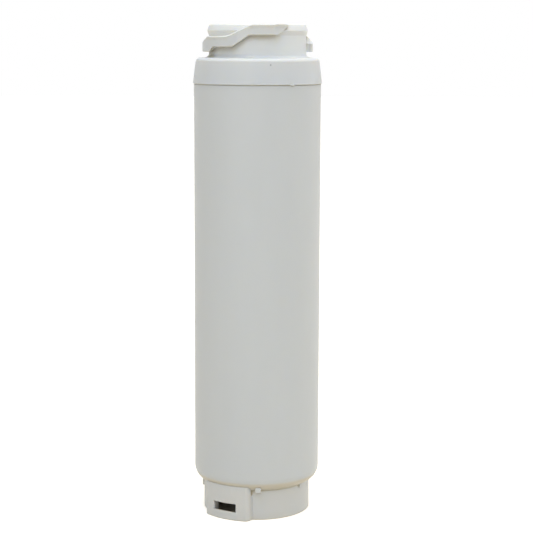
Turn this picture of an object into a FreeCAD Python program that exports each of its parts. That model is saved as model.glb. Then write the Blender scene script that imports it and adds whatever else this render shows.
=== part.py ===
import FreeCAD, Part
import enum
import math
import operator
import os
import types

import Sketcher

# Fridge water filter cartridge: a welded housing with a bayonet neck, the filter
# element inside it and a base ring that takes a turning knob. Millimetres, +Z up,
# origin on the table under the axis, front towards -Y. Azimuths are in degrees from
# the front towards +X.

SIZES = {
    # Housing shell, a deep moulded cup
    "shell_diameter": 68.4,
    "shell_length": 218.1,
    "shell_wall": 2.8,
    "shell_corner": 8.0,
    "tongue_width": 1.2,
    "tongue_height": 4.5,
    "spigot_diameter": 12.0,
    "spigot_fit": 0.15,
    "tooth_offset": 1.0,
    "tooth_width": 3.1,
    "tooth_height": 2.7,
    "tooth_depth": 4.5,
    "tooth_lift": 0.2,
    "tooth_round": 0.8,
    # Top closure, welded on the shell
    "rim_overhang": 0.6,
    "rim_round": 0.5,
    "cone_taper": 1.8,
    "shoulder_height": 14.2,
    "shoulder_fall": 0.4,
    "shoulder_round": 2.2,
    "closure_plate": 3.0,
    "weld_clearance": 0.15,
    "weld_headroom": 0.4,
    "leg_thickness": 2.2,
    "leg_reach": 9.3,
    "neck_diameter": 52.2,
    "neck_height": 17.3,
    "neck_wall": 2.9,
    "neck_root_round": 1.5,
    "bead_height": 0.85,
    "bead_drop": 3.3,
    "bead_run": 2.6,
    "mouth_taper": 0.25,
    "mouth_round": 0.5,
    # Cam lugs on the neck, drawn as seen from the front
    "lug_projection": 3.5,
    "lug_thickness": 5.7,
    "lug_drop": 6.2,
    "lug_end": 15.7,
    "lead_start": 11.0,
    "lead_rise": 4.3,
    "lead_round": 8.0,
    "ramp_top_start": 3.0,
    "ramp_top_end": 16.0,
    "ramp_top_round": 8.0,
    "ramp_under_start": 4.2,
    "ramp_under_end": 13.2,
    "ramp_under_round": 3.0,
    "stop_start": 23.4,
    "stop_depth": 2.6,
    "stop_round": 1.5,
    "stop_chamfer_run": 3.1,
    "stop_chamfer_fall": 3.3,
    "lug_overrun": 1.0,
    "lug_soft_edge": 0.5,
    # Port stem, fixed under the closure's plate
    "stem_fit": 0.15,
    "flange_diameter": 37.0,
    "flange_thickness": 2.5,
    "step_diameter": 31.0,
    "step_height": 7.7,
    "step_round": 0.8,
    "nozzle_diameter": 14.4,
    "nozzle_height": 5.8,
    "pilot_diameter": 13.0,
    "pilot_height": 3.2,
    "pilot_round": 0.5,
    "outlet_bore": 7.0,
    "inlet_hole": 3.5,
    "inlet_circle": 20.8,
    "inlet_count": 4,
    "socket_bore": 13.2,
    "socket_wall": 1.6,
    "socket_length": 8.0,
    "socket_headroom": 1.0,
    # Seals, drawn as seated
    "port_ring_section": 2.62,
    "port_ring_depth": 2.1,
    "port_ring_width": 3.4,
    "inlet_ring_height": 4.1,
    "outlet_ring_height": 2.9,
    "cap_ring_section": 1.6,
    "cap_ring_depth": 1.45,
    "cap_ring_width": 2.4,
    "cap_ring_height": 5.5,
    "ring_seat": 0.02,
    # Filter element and its end caps
    "block_diameter": 47.0,
    "block_bore": 14.0,
    "wrap_thickness": 1.0,
    "net_thickness": 0.6,
    "net_strand": 4.0,
    "net_window": 17.0,
    "net_columns": 6,
    "net_rows": 8,
    "cap_disc": 2.5,
    "cap_rim_wall": 1.65,
    "cap_rim_depth": 4.0,
    "cap_fit": 0.15,
    "cap_round": 0.8,
    "plug_length": 5.0,
    "nipple_diameter": 12.8,
    "nipple_length": 10.0,
    "nipple_round": 0.6,
    "flow_hole": 6.4,
    "foot_height": 7.0,
    "foot_inner": 14.0,
    "foot_outer": 22.0,
    "fin_thickness": 2.0,
    "fin_gap": 0.3,
    "fin_count": 4,
    # Base cap under the shell
    "base_height": 16.0,
    "base_plate": 2.4,
    "base_inset": 5.1,
    "base_wall": 2.4,
    "base_gap": 0.25,
    "base_round": 0.6,
    "seat_margin": 0.5,
    "pad_azimuth": -32.3,
    "pad_width": 27.8,
    "pad_inset": 1.2,
    "pad_height": 18.4,
    "pad_round": 3.0,
    "slot_width": 14.6,
    "slot_height": 4.6,
    "slot_floor": 4.7,
    "slot_wall": 4.0,
    "core_width": 17.0,
    "core_height": 11.0,
    "rib_azimuth": -97.0,
    "rib_width": 3.0,
    "rib_projection": 1.2,
    "rib_floor": 10.4,
    "recess_azimuth": 27.5,
    "recess_sweep": 54.8,
    "recess_depth": 0.7,
    "wide_notch_azimuth": -0.6,
    "wide_notch_width": 5.0,
    "small_notch_azimuth": 52.7,
    "small_notch_width": 2.2,
    "notch_depth": 2.1,
}


class Spot(enum.IntEnum):
    """The points of a line, an arc or a circle, as a sketch numbers them."""

    START = 1
    END = 2
    CENTRE = 3


SKETCH_ORIGIN = (-1, Spot.START)
HORIZONTAL_AXIS = -1
VERTICAL_AXIS = -2
UP = FreeCAD.Vector(0, 0, 1)
FULL_TURN = 360
QUARTER_TURN = 90
ON_RADIUS = 0.01
EDGE_SPOTS = 5
MM3_PER_CM3 = 1000


class Formula:
    """A length worked out from spreadsheet cells: its expression and its value."""

    def __init__(self, text, value):
        self.text = text
        self.value = value

    def combine(self, sign, work, other):
        """Join this formula with another one, or with a number, by an arithmetic sign."""
        if not isinstance(other, Formula):
            other = Formula(str(other), other)
        return Formula(f"({self.text} {sign} {other.text})", work(self.value, other.value))

    def __add__(self, other):
        return self.combine("+", operator.add, other)

    def __sub__(self, other):
        return self.combine("-", operator.sub, other)

    def __mul__(self, other):
        return self.combine("*", operator.mul, other)

    def __truediv__(self, other):
        return self.combine("/", operator.truediv, other)

    def __neg__(self):
        return Formula(f"(-{self.text})", -self.value)


ZERO = Formula("0", 0.0)
PAIR = Formula("2", 2)
size = types.SimpleNamespace(**{name: Formula(f"Sizes.{name}", value) for name, value in SIZES.items()})

# Radii and levels that several pieces share, from the table up
shell_radius = size.shell_diameter / 2
shell_bore = shell_radius - size.shell_wall
shell_floor = size.base_height + size.shell_wall
weld_level = size.base_height + size.shell_length
plate_top = weld_level + size.shoulder_height
plate_under = plate_top - size.closure_plate
neck_radius = size.neck_diameter / 2
neck_bore = neck_radius - size.neck_wall
neck_top = plate_top + size.neck_height
lug_radius = neck_radius + size.lug_projection

tongue_outer = shell_bore + size.tongue_width
spigot_radius = size.spigot_diameter / 2
base_plate_under = size.base_height - size.base_plate
skirt_radius = shell_radius - size.base_inset
pad_radius = shell_radius - size.pad_inset

step_radius = size.step_diameter / 2
nozzle_radius = size.nozzle_diameter / 2
flange_under = plate_under - size.flange_thickness
step_top = plate_top + size.step_height
socket_end = flange_under - size.socket_length
inlet_ring_level = plate_top + size.inlet_ring_height
outlet_ring_level = step_top + size.outlet_ring_height
cap_ring_level = socket_end + size.cap_ring_height
step_ring_floor = step_radius - size.port_ring_depth
nozzle_ring_floor = nozzle_radius - size.port_ring_depth
nipple_ring_floor = size.nipple_diameter / 2 - size.cap_ring_depth

block_radius = size.block_diameter / 2
wrap_radius = block_radius + size.wrap_thickness
net_radius = wrap_radius + size.net_thickness
cap_rim_inner = net_radius + size.cap_fit
cap_rim_outer = cap_rim_inner + size.cap_rim_wall
plug_radius = size.block_bore / 2 - size.cap_fit
block_under = shell_floor + size.foot_height + size.cap_disc
block_top = socket_end - size.cap_disc


def add_sheet(doc):
    """Write every driving size into the spreadsheet, under its own alias."""
    sheet = doc.addObject("Spreadsheet::Sheet", "Sizes")
    for row, (name, value) in enumerate(SIZES.items(), start=1):
        sheet.set(f"A{row}", name)
        sheet.set(f"B{row}", str(value))
        sheet.setAlias(f"B{row}", name)
    doc.recompute()


def add_body(doc, label):
    """Start a sub-part."""
    body = doc.addObject("PartDesign::Body", label)
    body.Label = label
    return body


def origin_item(body, role):
    """The plane or axis of a body's own origin that has a role."""
    return next(item for item in body.Origin.OriginFeatures if item.Role == role)


def add_sketch(body, name, role, lift=ZERO, turn=ZERO, turn_axis=UP):
    """Start a sketch on an origin plane, lifted along its normal and turned about an axis of its own."""
    sketch = body.newObject("Sketcher::SketchObject", name)
    sketch.AttachmentSupport = [(origin_item(body, role), "")]
    sketch.MapMode = "FlatFace"
    offset = FreeCAD.Vector(0, 0, lift.value)
    sketch.AttachmentOffset = FreeCAD.Placement(offset, FreeCAD.Rotation(turn_axis, turn.value))
    if lift is not ZERO:
        sketch.setExpression("AttachmentOffset.Base.z", lift.text)
    if turn is not ZERO:
        sketch.setExpression("AttachmentOffset.Rotation.Angle", turn.text)
    return sketch


def plan_sketch(body, name, azimuth, lift=ZERO):
    """Start a sketch seen from above, with its X axis pointing out along an azimuth."""
    return add_sketch(body, name, "XY_Plane", lift, azimuth - QUARTER_TURN)


def wall_sketch(body, name, azimuth):
    """Start an upright sketch that faces out along an azimuth."""
    return add_sketch(body, name, "YZ_Plane", ZERO, azimuth - QUARTER_TURN, FreeCAD.Vector(0, 1, 0))


def hold_value(sketch, constraint, amount):
    """Add a dimension and bind it to its formula."""
    index = sketch.addConstraint(constraint)
    sketch.setExpression(f"Constraints[{index}]", amount.text)


def hold_point(sketch, item, end, place):
    """Dimension a point from the sketch's origin, or put it on the axis that it lies on."""
    kinds = ("DistanceX", "DistanceY")
    axes = (VERTICAL_AXIS, HORIZONTAL_AXIS)
    for kind, axis, amount in zip(kinds, axes, place):
        if amount is ZERO:
            sketch.addConstraint(Sketcher.Constraint("PointOnObject", item, end, axis))
        else:
            hold_value(sketch, Sketcher.Constraint(kind, *SKETCH_ORIGIN, item, end, amount.value), amount)


def corner_arc(before, corner, after, radius):
    """Round a corner: where the arc starts and ends along the outline, its middle and its direction."""
    back = (before - corner).normalize()
    onward = (after - corner).normalize()
    half = back.getAngle(onward) / 2
    start = corner + back * (radius / math.tan(half))
    end = corner + onward * (radius / math.tan(half))
    centre = corner + (back + onward).normalize() * (radius / math.sin(half))
    turns_left = onward.cross(back).z > 0
    return start, end, centre, turns_left


def add_outline(sketch, corners):
    """Draw a closed outline through corners (x, y), or (x, y, round) where a corner is rounded."""
    points = [FreeCAD.Vector(corner[0].value, corner[1].value, 0) for corner in corners]
    count = len(points)
    arcs = {}
    for index, corner in enumerate(corners):
        if len(corner) > 2:
            neighbours = points[index - 1], points[index], points[(index + 1) % count]
            arcs[index] = corner_arc(*neighbours, corner[2].value)
    lines = []
    for index in range(count):
        following = (index + 1) % count
        start = arcs[index][1] if index in arcs else points[index]
        end = arcs[following][0] if following in arcs else points[following]
        lines.append(sketch.addGeometry(Part.LineSegment(start, end), False))
    for index, corner in enumerate(corners):
        before, after = lines[index - 1], lines[index]
        if index in arcs:
            add_corner_round(sketch, before, after, points[index], corner, arcs[index])
        else:
            sketch.addConstraint(Sketcher.Constraint("Coincident", before, Spot.END, after, Spot.START))
            hold_point(sketch, after, Spot.START, corner)


def add_corner_round(sketch, before, after, point, corner, arc):
    """Join two lines by a tangent arc, with their corner kept as a dimensioned point."""
    start, end, centre, turns_left = arc
    first, last = (start, end) if turns_left else (end, start)
    angles = [math.atan2(spot.y - centre.y, spot.x - centre.x) for spot in (first, last)]
    if angles[1] < angles[0]:
        angles[1] += 2 * math.pi
    radius = corner[2]
    curve = sketch.addGeometry(Part.ArcOfCircle(Part.Circle(centre, UP, radius.value), *angles), False)
    vertex = sketch.addGeometry(Part.Point(point), True)
    entry, leaving = (Spot.START, Spot.END) if turns_left else (Spot.END, Spot.START)
    sketch.addConstraint(Sketcher.Constraint("Tangent", before, Spot.END, curve, entry))
    sketch.addConstraint(Sketcher.Constraint("Tangent", after, Spot.START, curve, leaving))
    sketch.addConstraint(Sketcher.Constraint("PointOnObject", vertex, Spot.START, before))
    sketch.addConstraint(Sketcher.Constraint("PointOnObject", vertex, Spot.START, after))
    hold_point(sketch, vertex, Spot.START, corner)
    hold_value(sketch, Sketcher.Constraint("Radius", curve, radius.value), radius)


def add_rectangle(sketch, low, high):
    """Draw a rectangle between two opposite corners."""
    add_outline(sketch, [low, (high[0], low[1]), high, (low[0], high[1])])


def add_circle(sketch, middle, radius):
    """Draw a circle."""
    place = FreeCAD.Vector(middle[0].value, middle[1].value, 0)
    circle = sketch.addGeometry(Part.Circle(place, UP, radius.value), False)
    hold_point(sketch, circle, Spot.CENTRE, middle)
    hold_value(sketch, Sketcher.Constraint("Radius", circle, radius.value), radius)


def turn(body, kind, name, corners, azimuth=None, sweep=None):
    """Turn an outline of (radius, level) corners about the axis, as a Revolution or a Groove.

    It goes all the way round, or by a sweep that has an azimuth in its middle.
    """
    if sweep is None:
        sketch = add_sketch(body, f"{name}_outline", "XZ_Plane")
    else:
        sketch = wall_sketch(body, f"{name}_outline", azimuth - QUARTER_TURN)
    add_outline(sketch, corners)
    feature = body.newObject(f"PartDesign::{kind}", name)
    feature.Profile = sketch
    feature.ReferenceAxis = (sketch, ["V_Axis"])
    feature.Angle = FULL_TURN
    if sweep is not None:
        feature.Midplane = True
        feature.setExpression("Angle", sweep.text)
    body.Document.recompute()
    return feature


def push(body, kind, name, sketch, length, reverse=False, both_ways=False):
    """Push a sketch along its normal, as a Pad or a Pocket."""
    feature = body.newObject(f"PartDesign::{kind}", name)
    feature.Profile = sketch
    feature.Reversed = reverse
    if both_ways:
        feature.SideType = "Symmetric"
    feature.setExpression("Length", length.text)
    body.Document.recompute()
    return feature


def repeat(body, name, features, count):
    """Repeat features evenly about the axis."""
    pattern = body.newObject("PartDesign::PolarPattern", name)
    pattern.Originals = features
    pattern.Axis = (origin_item(body, "Z_Axis"), [""])
    pattern.Angle = FULL_TURN
    pattern.setExpression("Occurrences", count.text)
    body.Tip = pattern
    body.Document.recompute()
    return pattern


def edges_on_radius(feature, radius, upright):
    """Names of a feature's edges that lie on a radius about the axis, upright ones alone or all."""
    names = []
    for number, edge in enumerate(feature.Shape.Edges, start=1):
        spots = edge.discretize(EDGE_SPOTS)
        on_radius = all(abs(math.hypot(spot.x, spot.y) - radius.value) < ON_RADIUS for spot in spots)
        is_upright = math.hypot(spots[0].x - spots[-1].x, spots[0].y - spots[-1].y) < ON_RADIUS
        if on_radius and (is_upright or not upright):
            names.append(f"Edge{number}")
    return names


def soften(body, name, feature, edges, radius):
    """Round edges of a feature."""
    fillet = body.newObject("PartDesign::Fillet", name)
    fillet.Base = (feature, edges)
    fillet.setExpression("Radius", radius.text)
    body.Document.recompute()
    return fillet


def add_ring(doc, label, section, floor_radius, level):
    """An O-ring seated on the floor of its groove."""
    ring = doc.addObject("Part::Torus", label)
    ring.Label = label
    ring.setExpression("Radius1", (floor_radius + size.ring_seat + section / 2).text)
    ring.setExpression("Radius2", (section / 2).text)
    ring.setExpression("Placement.Base.z", level.text)
    return ring


def ring_groove(outer, floor, level, width):
    """Corners of an O-ring groove in an outline that runs upwards."""
    low = level - width / 2
    high = level + width / 2
    return [(outer, low), (floor, low), (floor, high), (outer, high)]


def housing_shell(doc):
    """The deep moulded cup, with a weld tongue on its rim and a key tooth on its rounded corner."""
    body = add_body(doc, "housing_shell")
    tongue_top = weld_level + size.tongue_height
    turn(body, "Revolution", "cup", [
        (ZERO, base_plate_under),
        (spigot_radius, base_plate_under),
        (spigot_radius, size.base_height),
        (shell_radius, size.base_height, size.shell_corner),
        (shell_radius, weld_level),
        (tongue_outer, weld_level),
        (tongue_outer, tongue_top),
        (shell_bore, tongue_top),
        (shell_bore, shell_floor, size.shell_corner - size.shell_wall),
        (ZERO, shell_floor),
    ])
    tooth = add_sketch(body, "tooth_front", "XZ_Plane", pad_radius - size.tooth_depth)
    left = size.tooth_offset - size.tooth_width / 2
    right = size.tooth_offset + size.tooth_width / 2
    low = size.base_height + size.tooth_lift
    high = low + size.tooth_height
    add_outline(tooth, [
        (left, low),
        (right, low),
        (right, high, size.tooth_round),
        (left, high, size.tooth_round),
    ])
    push(body, "Pad", "key_tooth", tooth, size.tooth_depth)
    return body


def lug_outline():
    """Corners of the S-shaped cam lug as seen from the front, from its top right end leftwards."""
    high_under = neck_top - size.lug_thickness
    low_top = neck_top - size.lug_drop
    low_under = low_top - size.lug_thickness
    stop_under = low_under - size.stop_depth
    chamfer_slope = size.stop_chamfer_fall / size.stop_chamfer_run
    outside = lug_radius + size.lug_overrun
    outside_top = low_top - chamfer_slope * (size.stop_chamfer_run + size.lug_overrun)
    return [
        (size.lug_end, neck_top),
        (-size.ramp_top_start, neck_top, size.ramp_top_round),
        (-size.ramp_top_end, low_top, size.ramp_top_round),
        (size.stop_chamfer_run - lug_radius, low_top),
        (-outside, outside_top),
        (-outside, stop_under),
        (-size.stop_start, stop_under),
        (-size.stop_start, low_under, size.stop_round),
        (-size.ramp_under_end, low_under, size.ramp_under_round),
        (-size.ramp_under_start, high_under, size.ramp_under_round),
        (size.lead_start, high_under, size.lead_round),
        (size.lug_end, high_under + size.lead_rise),
    ]


def add_lugs(body):
    """The two cam lugs: drawn in the front view, bevelled at the stop, turned outside and softened."""
    front = add_sketch(body, "lug_front", "XZ_Plane", -size.lug_overrun)
    add_outline(front, lug_outline())
    lug = push(body, "Pad", "lug", front, lug_radius + size.lug_overrun * 2)
    foot = neck_top - size.lug_drop - size.stop_chamfer_fall
    rise = size.stop_chamfer_fall + size.lug_overrun
    side = add_sketch(body, "stop_side", "YZ_Plane")
    add_outline(side, [
        (size.lug_overrun * 2, foot - size.lug_overrun),
        (size.lug_overrun * 2, foot + rise),
        (size.lug_overrun - rise, foot + rise),
    ])
    bevel = push(body, "Pocket", "stop_bevel", side, lug_radius + size.lug_overrun)
    repeat(body, "lug_pair", [lug, bevel], PAIR)
    stop_under = neck_top - size.lug_drop - size.lug_thickness - size.stop_depth
    turned = turn(body, "Groove", "lug_turning", [
        (lug_radius, stop_under - size.lug_overrun),
        (lug_radius * 2, stop_under - size.lug_overrun),
        (lug_radius * 2, neck_top + size.lug_overrun),
        (lug_radius, neck_top + size.lug_overrun),
    ])
    soften(body, "lug_edges", turned, edges_on_radius(turned, lug_radius, False), size.lug_soft_edge)


def top_closure(doc):
    """The welded top: conical rim, shoulder, neck with a bead, well and two cam lugs."""
    body = add_body(doc, "top_closure")
    add_lugs(body)
    rim_radius = shell_radius + size.rim_overhang
    groove_outer = tongue_outer + size.weld_clearance
    groove_inner = shell_bore - size.weld_clearance
    groove_top = weld_level + size.tongue_height + size.weld_headroom
    leg_inner = groove_inner - size.leg_thickness
    leg_end = plate_under - size.leg_reach
    bead_level = neck_top - size.bead_drop
    stem_hole = step_radius + size.stem_fit
    turn(body, "Revolution", "closure", [
        (groove_outer, weld_level),
        (rim_radius, weld_level, size.rim_round),
        (rim_radius - size.cone_taper, plate_top - size.shoulder_fall, size.shoulder_round),
        (neck_radius, plate_top, size.neck_root_round),
        (neck_radius, bead_level - size.bead_run),
        (neck_radius + size.bead_height, bead_level),
        (neck_radius - size.mouth_taper, neck_top, size.mouth_round),
        (neck_bore, neck_top, size.mouth_round),
        (neck_bore, plate_top),
        (stem_hole, plate_top),
        (stem_hole, plate_under),
        (leg_inner, plate_under),
        (leg_inner, leg_end),
        (groove_inner, leg_end),
        (groove_inner, groove_top),
        (groove_outer, groove_top),
    ])
    turn(body, "Groove", "well", [
        (ZERO, plate_top),
        (neck_bore, plate_top),
        (neck_bore, neck_top + size.lug_overrun),
        (ZERO, neck_top + size.lug_overrun),
    ])
    return body


def port_stem(doc):
    """The stepped spigot in the neck's well, with the outlet bore, the inlet holes and two seal grooves."""
    body = add_body(doc, "port_stem")
    flange_radius = size.flange_diameter / 2
    pilot_radius = size.pilot_diameter / 2
    socket_radius = size.socket_bore / 2
    socket_outer = socket_radius + size.socket_wall
    socket_roof = socket_end + size.nipple_length + size.socket_headroom
    nozzle_top = step_top + size.nozzle_height
    pilot_top = nozzle_top + size.pilot_height
    bore = size.outlet_bore / 2
    turn(body, "Revolution", "stem", [
        (socket_radius, socket_end),
        (socket_outer, socket_end),
        (socket_outer, flange_under),
        (flange_radius, flange_under),
        (flange_radius, plate_under),
        (step_radius, plate_under),
        *ring_groove(step_radius, step_ring_floor, inlet_ring_level, size.port_ring_width),
        (step_radius, step_top, size.step_round),
        (nozzle_radius, step_top),
        *ring_groove(nozzle_radius, nozzle_ring_floor, outlet_ring_level, size.port_ring_width),
        (nozzle_radius, nozzle_top),
        (pilot_radius, nozzle_top),
        (pilot_radius, pilot_top, size.pilot_round),
        (bore, pilot_top),
        (bore, socket_roof),
        (socket_radius, socket_roof),
    ])
    inlet = add_sketch(body, "inlet_plan", "XY_Plane", step_top)
    add_circle(inlet, (size.inlet_circle / 2, ZERO), size.inlet_hole / 2)
    hole = push(body, "Pocket", "inlet", inlet, step_top - flange_under)
    repeat(body, "inlets", [hole], size.inlet_count)
    return body


def upper_end_cap(doc):
    """The cap on top of the element, with the nipple that carries clean water into the stem."""
    body = add_body(doc, "upper_end_cap")
    nipple_radius = size.nipple_diameter / 2
    nipple_top = socket_end + size.nipple_length
    hole = size.flow_hole / 2
    rim_end = block_top - size.cap_rim_depth
    plug_end = block_top - size.plug_length
    turn(body, "Revolution", "cap", [
        (hole, plug_end),
        (plug_radius, plug_end),
        (plug_radius, block_top),
        (cap_rim_inner, block_top),
        (cap_rim_inner, rim_end),
        (cap_rim_outer, rim_end),
        (cap_rim_outer, socket_end, size.cap_round),
        (nipple_radius, socket_end),
        *ring_groove(nipple_radius, nipple_ring_floor, cap_ring_level, size.cap_ring_width),
        (nipple_radius, nipple_top, size.nipple_round),
        (hole, nipple_top),
    ])
    return body


def lower_end_cap(doc):
    """The closed cap under the element, on feet that run out into centring fins."""
    body = add_body(doc, "lower_end_cap")
    disc_under = block_under - size.cap_disc
    rim_top = block_under + size.cap_rim_depth
    turn(body, "Revolution", "cap", [
        (ZERO, disc_under),
        (cap_rim_outer, disc_under),
        (cap_rim_outer, rim_top),
        (cap_rim_inner, rim_top),
        (cap_rim_inner, block_under),
        (plug_radius, block_under),
        (plug_radius, block_under + size.plug_length),
        (ZERO, block_under + size.plug_length),
    ])
    fin_radius = shell_bore - size.fin_gap
    rim_middle = cap_rim_inner + size.cap_rim_wall / 2
    disc_middle = disc_under + size.cap_disc / 2
    outline = add_sketch(body, "fin_outline", "XZ_Plane")
    add_outline(outline, [
        (size.foot_inner, shell_floor),
        (size.foot_outer, shell_floor),
        (fin_radius, disc_under),
        (fin_radius, rim_top),
        (rim_middle, rim_top),
        (rim_middle, disc_middle),
        (size.foot_inner, disc_middle),
    ])
    fin = push(body, "Pad", "fin", outline, size.fin_thickness, both_ways=True)
    repeat(body, "fins", [fin], size.fin_count)
    return body


def sleeve(doc, label, inner, outer):
    """A plain tube over the length of the filter element."""
    body = add_body(doc, label)
    turn(body, "Revolution", "tube", [
        (inner, block_under),
        (outer, block_under),
        (outer, block_top),
        (inner, block_top),
    ])
    return body


def support_net(doc):
    """The moulded net sleeve: rows and columns of windows in a thin tube."""
    body = sleeve(doc, "support_net", wrap_radius, net_radius)
    margin = size.cap_rim_depth + size.net_strand
    pitch = (block_top - block_under - margin * 2 + size.net_strand) / size.net_rows
    column = wall_sketch(body, "window_column", ZERO + QUARTER_TURN)
    for row in range(SIZES["net_rows"]):
        low = block_under + margin + pitch * row
        high = low + pitch - size.net_strand
        add_rectangle(column, (-size.net_window / 2, low), (size.net_window / 2, high))
    windows = push(body, "Pocket", "windows", column, net_radius * 2, reverse=True)
    repeat(body, "window_columns", [windows], size.net_columns)
    return body


def add_notch(body, name, azimuth, width):
    """A notch in the top edge of the base cap's skirt."""
    floor = size.base_height - size.notch_depth
    plan = plan_sketch(body, f"{name}_plan", azimuth, floor)
    inner = skirt_radius - size.base_wall
    outer = skirt_radius + size.base_wall
    add_rectangle(plan, (inner, -width / 2), (outer, width / 2))
    push(body, "Pocket", name, plan, size.pad_height - floor, reverse=True)


def add_recess(body):
    """The lowered run of the skirt's top edge between the two notches."""
    floor = size.base_height - size.recess_depth
    inner = skirt_radius - size.base_wall
    outer = skirt_radius + size.base_wall
    turn(body, "Groove", "skirt_recess", [
        (inner, floor),
        (outer, floor),
        (outer, size.pad_height),
        (inner, size.pad_height),
    ], size.recess_azimuth, size.recess_sweep)


def base_cap(doc):
    """The ring under the shell: skirt, plate, two slotted pads, a key rib, a recess and two notches."""
    body = add_body(doc, "base_cap")
    spigot_hole = spigot_radius + size.spigot_fit
    bore = skirt_radius - size.base_wall
    turn(body, "Revolution", "puck", [
        (spigot_hole, ZERO),
        (skirt_radius, ZERO, size.base_round),
        (skirt_radius, size.pad_height),
        (spigot_hole, size.pad_height),
    ])
    plan = plan_sketch(body, "pad_plan", size.pad_azimuth)
    pad_root = bore - size.pad_width / 4
    add_rectangle(plan, (pad_root, -size.pad_width / 2), (pad_radius + size.pad_inset, size.pad_width / 2))
    pad = push(body, "Pad", "pad", plan, size.pad_height)
    repeat(body, "pads", [pad], PAIR)
    turned = turn(body, "Groove", "pad_turning", [
        (pad_radius, ZERO),
        (pad_radius * 2, ZERO),
        (pad_radius * 2, size.pad_height),
        (pad_radius, size.pad_height),
    ])
    soften(body, "pad_edges", turned, edges_on_radius(turned, pad_radius, True), size.pad_round)
    rib_plan = plan_sketch(body, "rib_plan", size.rib_azimuth, size.rib_floor)
    rib_outer = skirt_radius + size.rib_projection
    add_rectangle(rib_plan, (bore, -size.rib_width / 2), (rib_outer, size.rib_width / 2))
    push(body, "Pad", "key_rib", rib_plan, size.pad_height - size.rib_floor)
    corner_centre = shell_radius - size.shell_corner
    seat_end = corner_centre - size.seat_margin
    seat_outer = shell_radius + size.base_gap
    seat_low = size.base_height - size.base_gap
    clear_top = size.base_height + size.shell_corner + size.pad_inset
    turn(body, "Groove", "shell_seat", [
        (ZERO, size.base_height),
        (seat_end, size.base_height),
        (seat_end, seat_low),
        (seat_outer, seat_low, size.shell_corner + size.base_gap),
        (seat_outer, clear_top),
        (ZERO, clear_top),
    ])
    turn(body, "Groove", "knob_bore", [
        (ZERO, ZERO),
        (bore, ZERO),
        (bore, base_plate_under),
        (ZERO, base_plate_under),
    ])
    core_outer = pad_radius - size.slot_wall
    core_plan = plan_sketch(body, "core_plan", size.pad_azimuth)
    add_rectangle(core_plan, (pad_root, -size.core_width / 2), (core_outer, size.core_width / 2))
    core = push(body, "Pocket", "core", core_plan, size.core_height, reverse=True)
    slot_face = wall_sketch(body, "slot_face", size.pad_azimuth)
    slot_top = size.slot_floor + size.slot_height
    add_rectangle(slot_face, (-size.slot_width / 2, size.slot_floor), (size.slot_width / 2, slot_top))
    slot = push(body, "Pocket", "slot", slot_face, pad_radius * 2, reverse=True)
    repeat(body, "slots", [core, slot], PAIR)
    add_recess(body)
    add_notch(body, "wide_notch", size.wide_notch_azimuth, size.wide_notch_width)
    add_notch(body, "small_notch", size.small_notch_azimuth, size.small_notch_width)
    return body


def build(doc):
    """Make every sub-part."""
    add_sheet(doc)
    port_section = size.port_ring_section
    return [
        housing_shell(doc),
        top_closure(doc),
        port_stem(doc),
        add_ring(doc, "inlet_o_ring", port_section, step_ring_floor, inlet_ring_level),
        add_ring(doc, "outlet_o_ring", port_section, nozzle_ring_floor, outlet_ring_level),
        upper_end_cap(doc),
        add_ring(doc, "end_cap_o_ring", size.cap_ring_section, nipple_ring_floor, cap_ring_level),
        sleeve(doc, "carbon_block", size.block_bore / 2, block_radius),
        sleeve(doc, "prefilter_wrap", block_radius, wrap_radius),
        support_net(doc),
        lower_end_cap(doc),
        base_cap(doc),
    ]


def check(doc, parts):
    """Stop if an object failed, or if a sub-part isn't one valid solid."""
    for item in doc.Objects:
        if {"Invalid", "Error"} & set(item.State):
            raise RuntimeError(f"{item.Label} failed: {item.State}")
    for part in parts:
        if part.Shape.isNull() or not part.Shape.isValid() or len(part.Shape.Solids) != 1:
            raise RuntimeError(f"{part.Label} isn't one valid solid")


document = FreeCAD.newDocument("water_filter_cartridge")
sub_parts = build(document)
document.recompute()
check(document, sub_parts)
os.makedirs("parts", exist_ok=True)
for sub_part in sub_parts:
    sub_part.Shape.exportStep(f"parts/{sub_part.Label}.step")
    box = sub_part.Shape.BoundBox
    volume = sub_part.Shape.Volume / MM3_PER_CM3
    print(f"{sub_part.Label}: z {box.ZMin:.2f} to {box.ZMax:.2f} mm, {volume:.2f} cm3")
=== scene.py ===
"""Looks of a fridge water filter cartridge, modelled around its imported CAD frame.

The classes hold their sizes in millimetres, as a maker's drawing does, and each mesh becomes metres when it
is finished. +Z runs up the cartridge from the table, -Y is its front, and an azimuth is in degrees from the
front towards +X.
"""

from __future__ import annotations

import logging
import math
from collections.abc import Iterable, Mapping, Sequence
from dataclasses import dataclass
from enum import Enum
from typing import ClassVar

import bmesh
import bpy
from bmesh.types import BMEdge, BMesh, BMVert
from mathutils import Matrix, Vector

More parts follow.
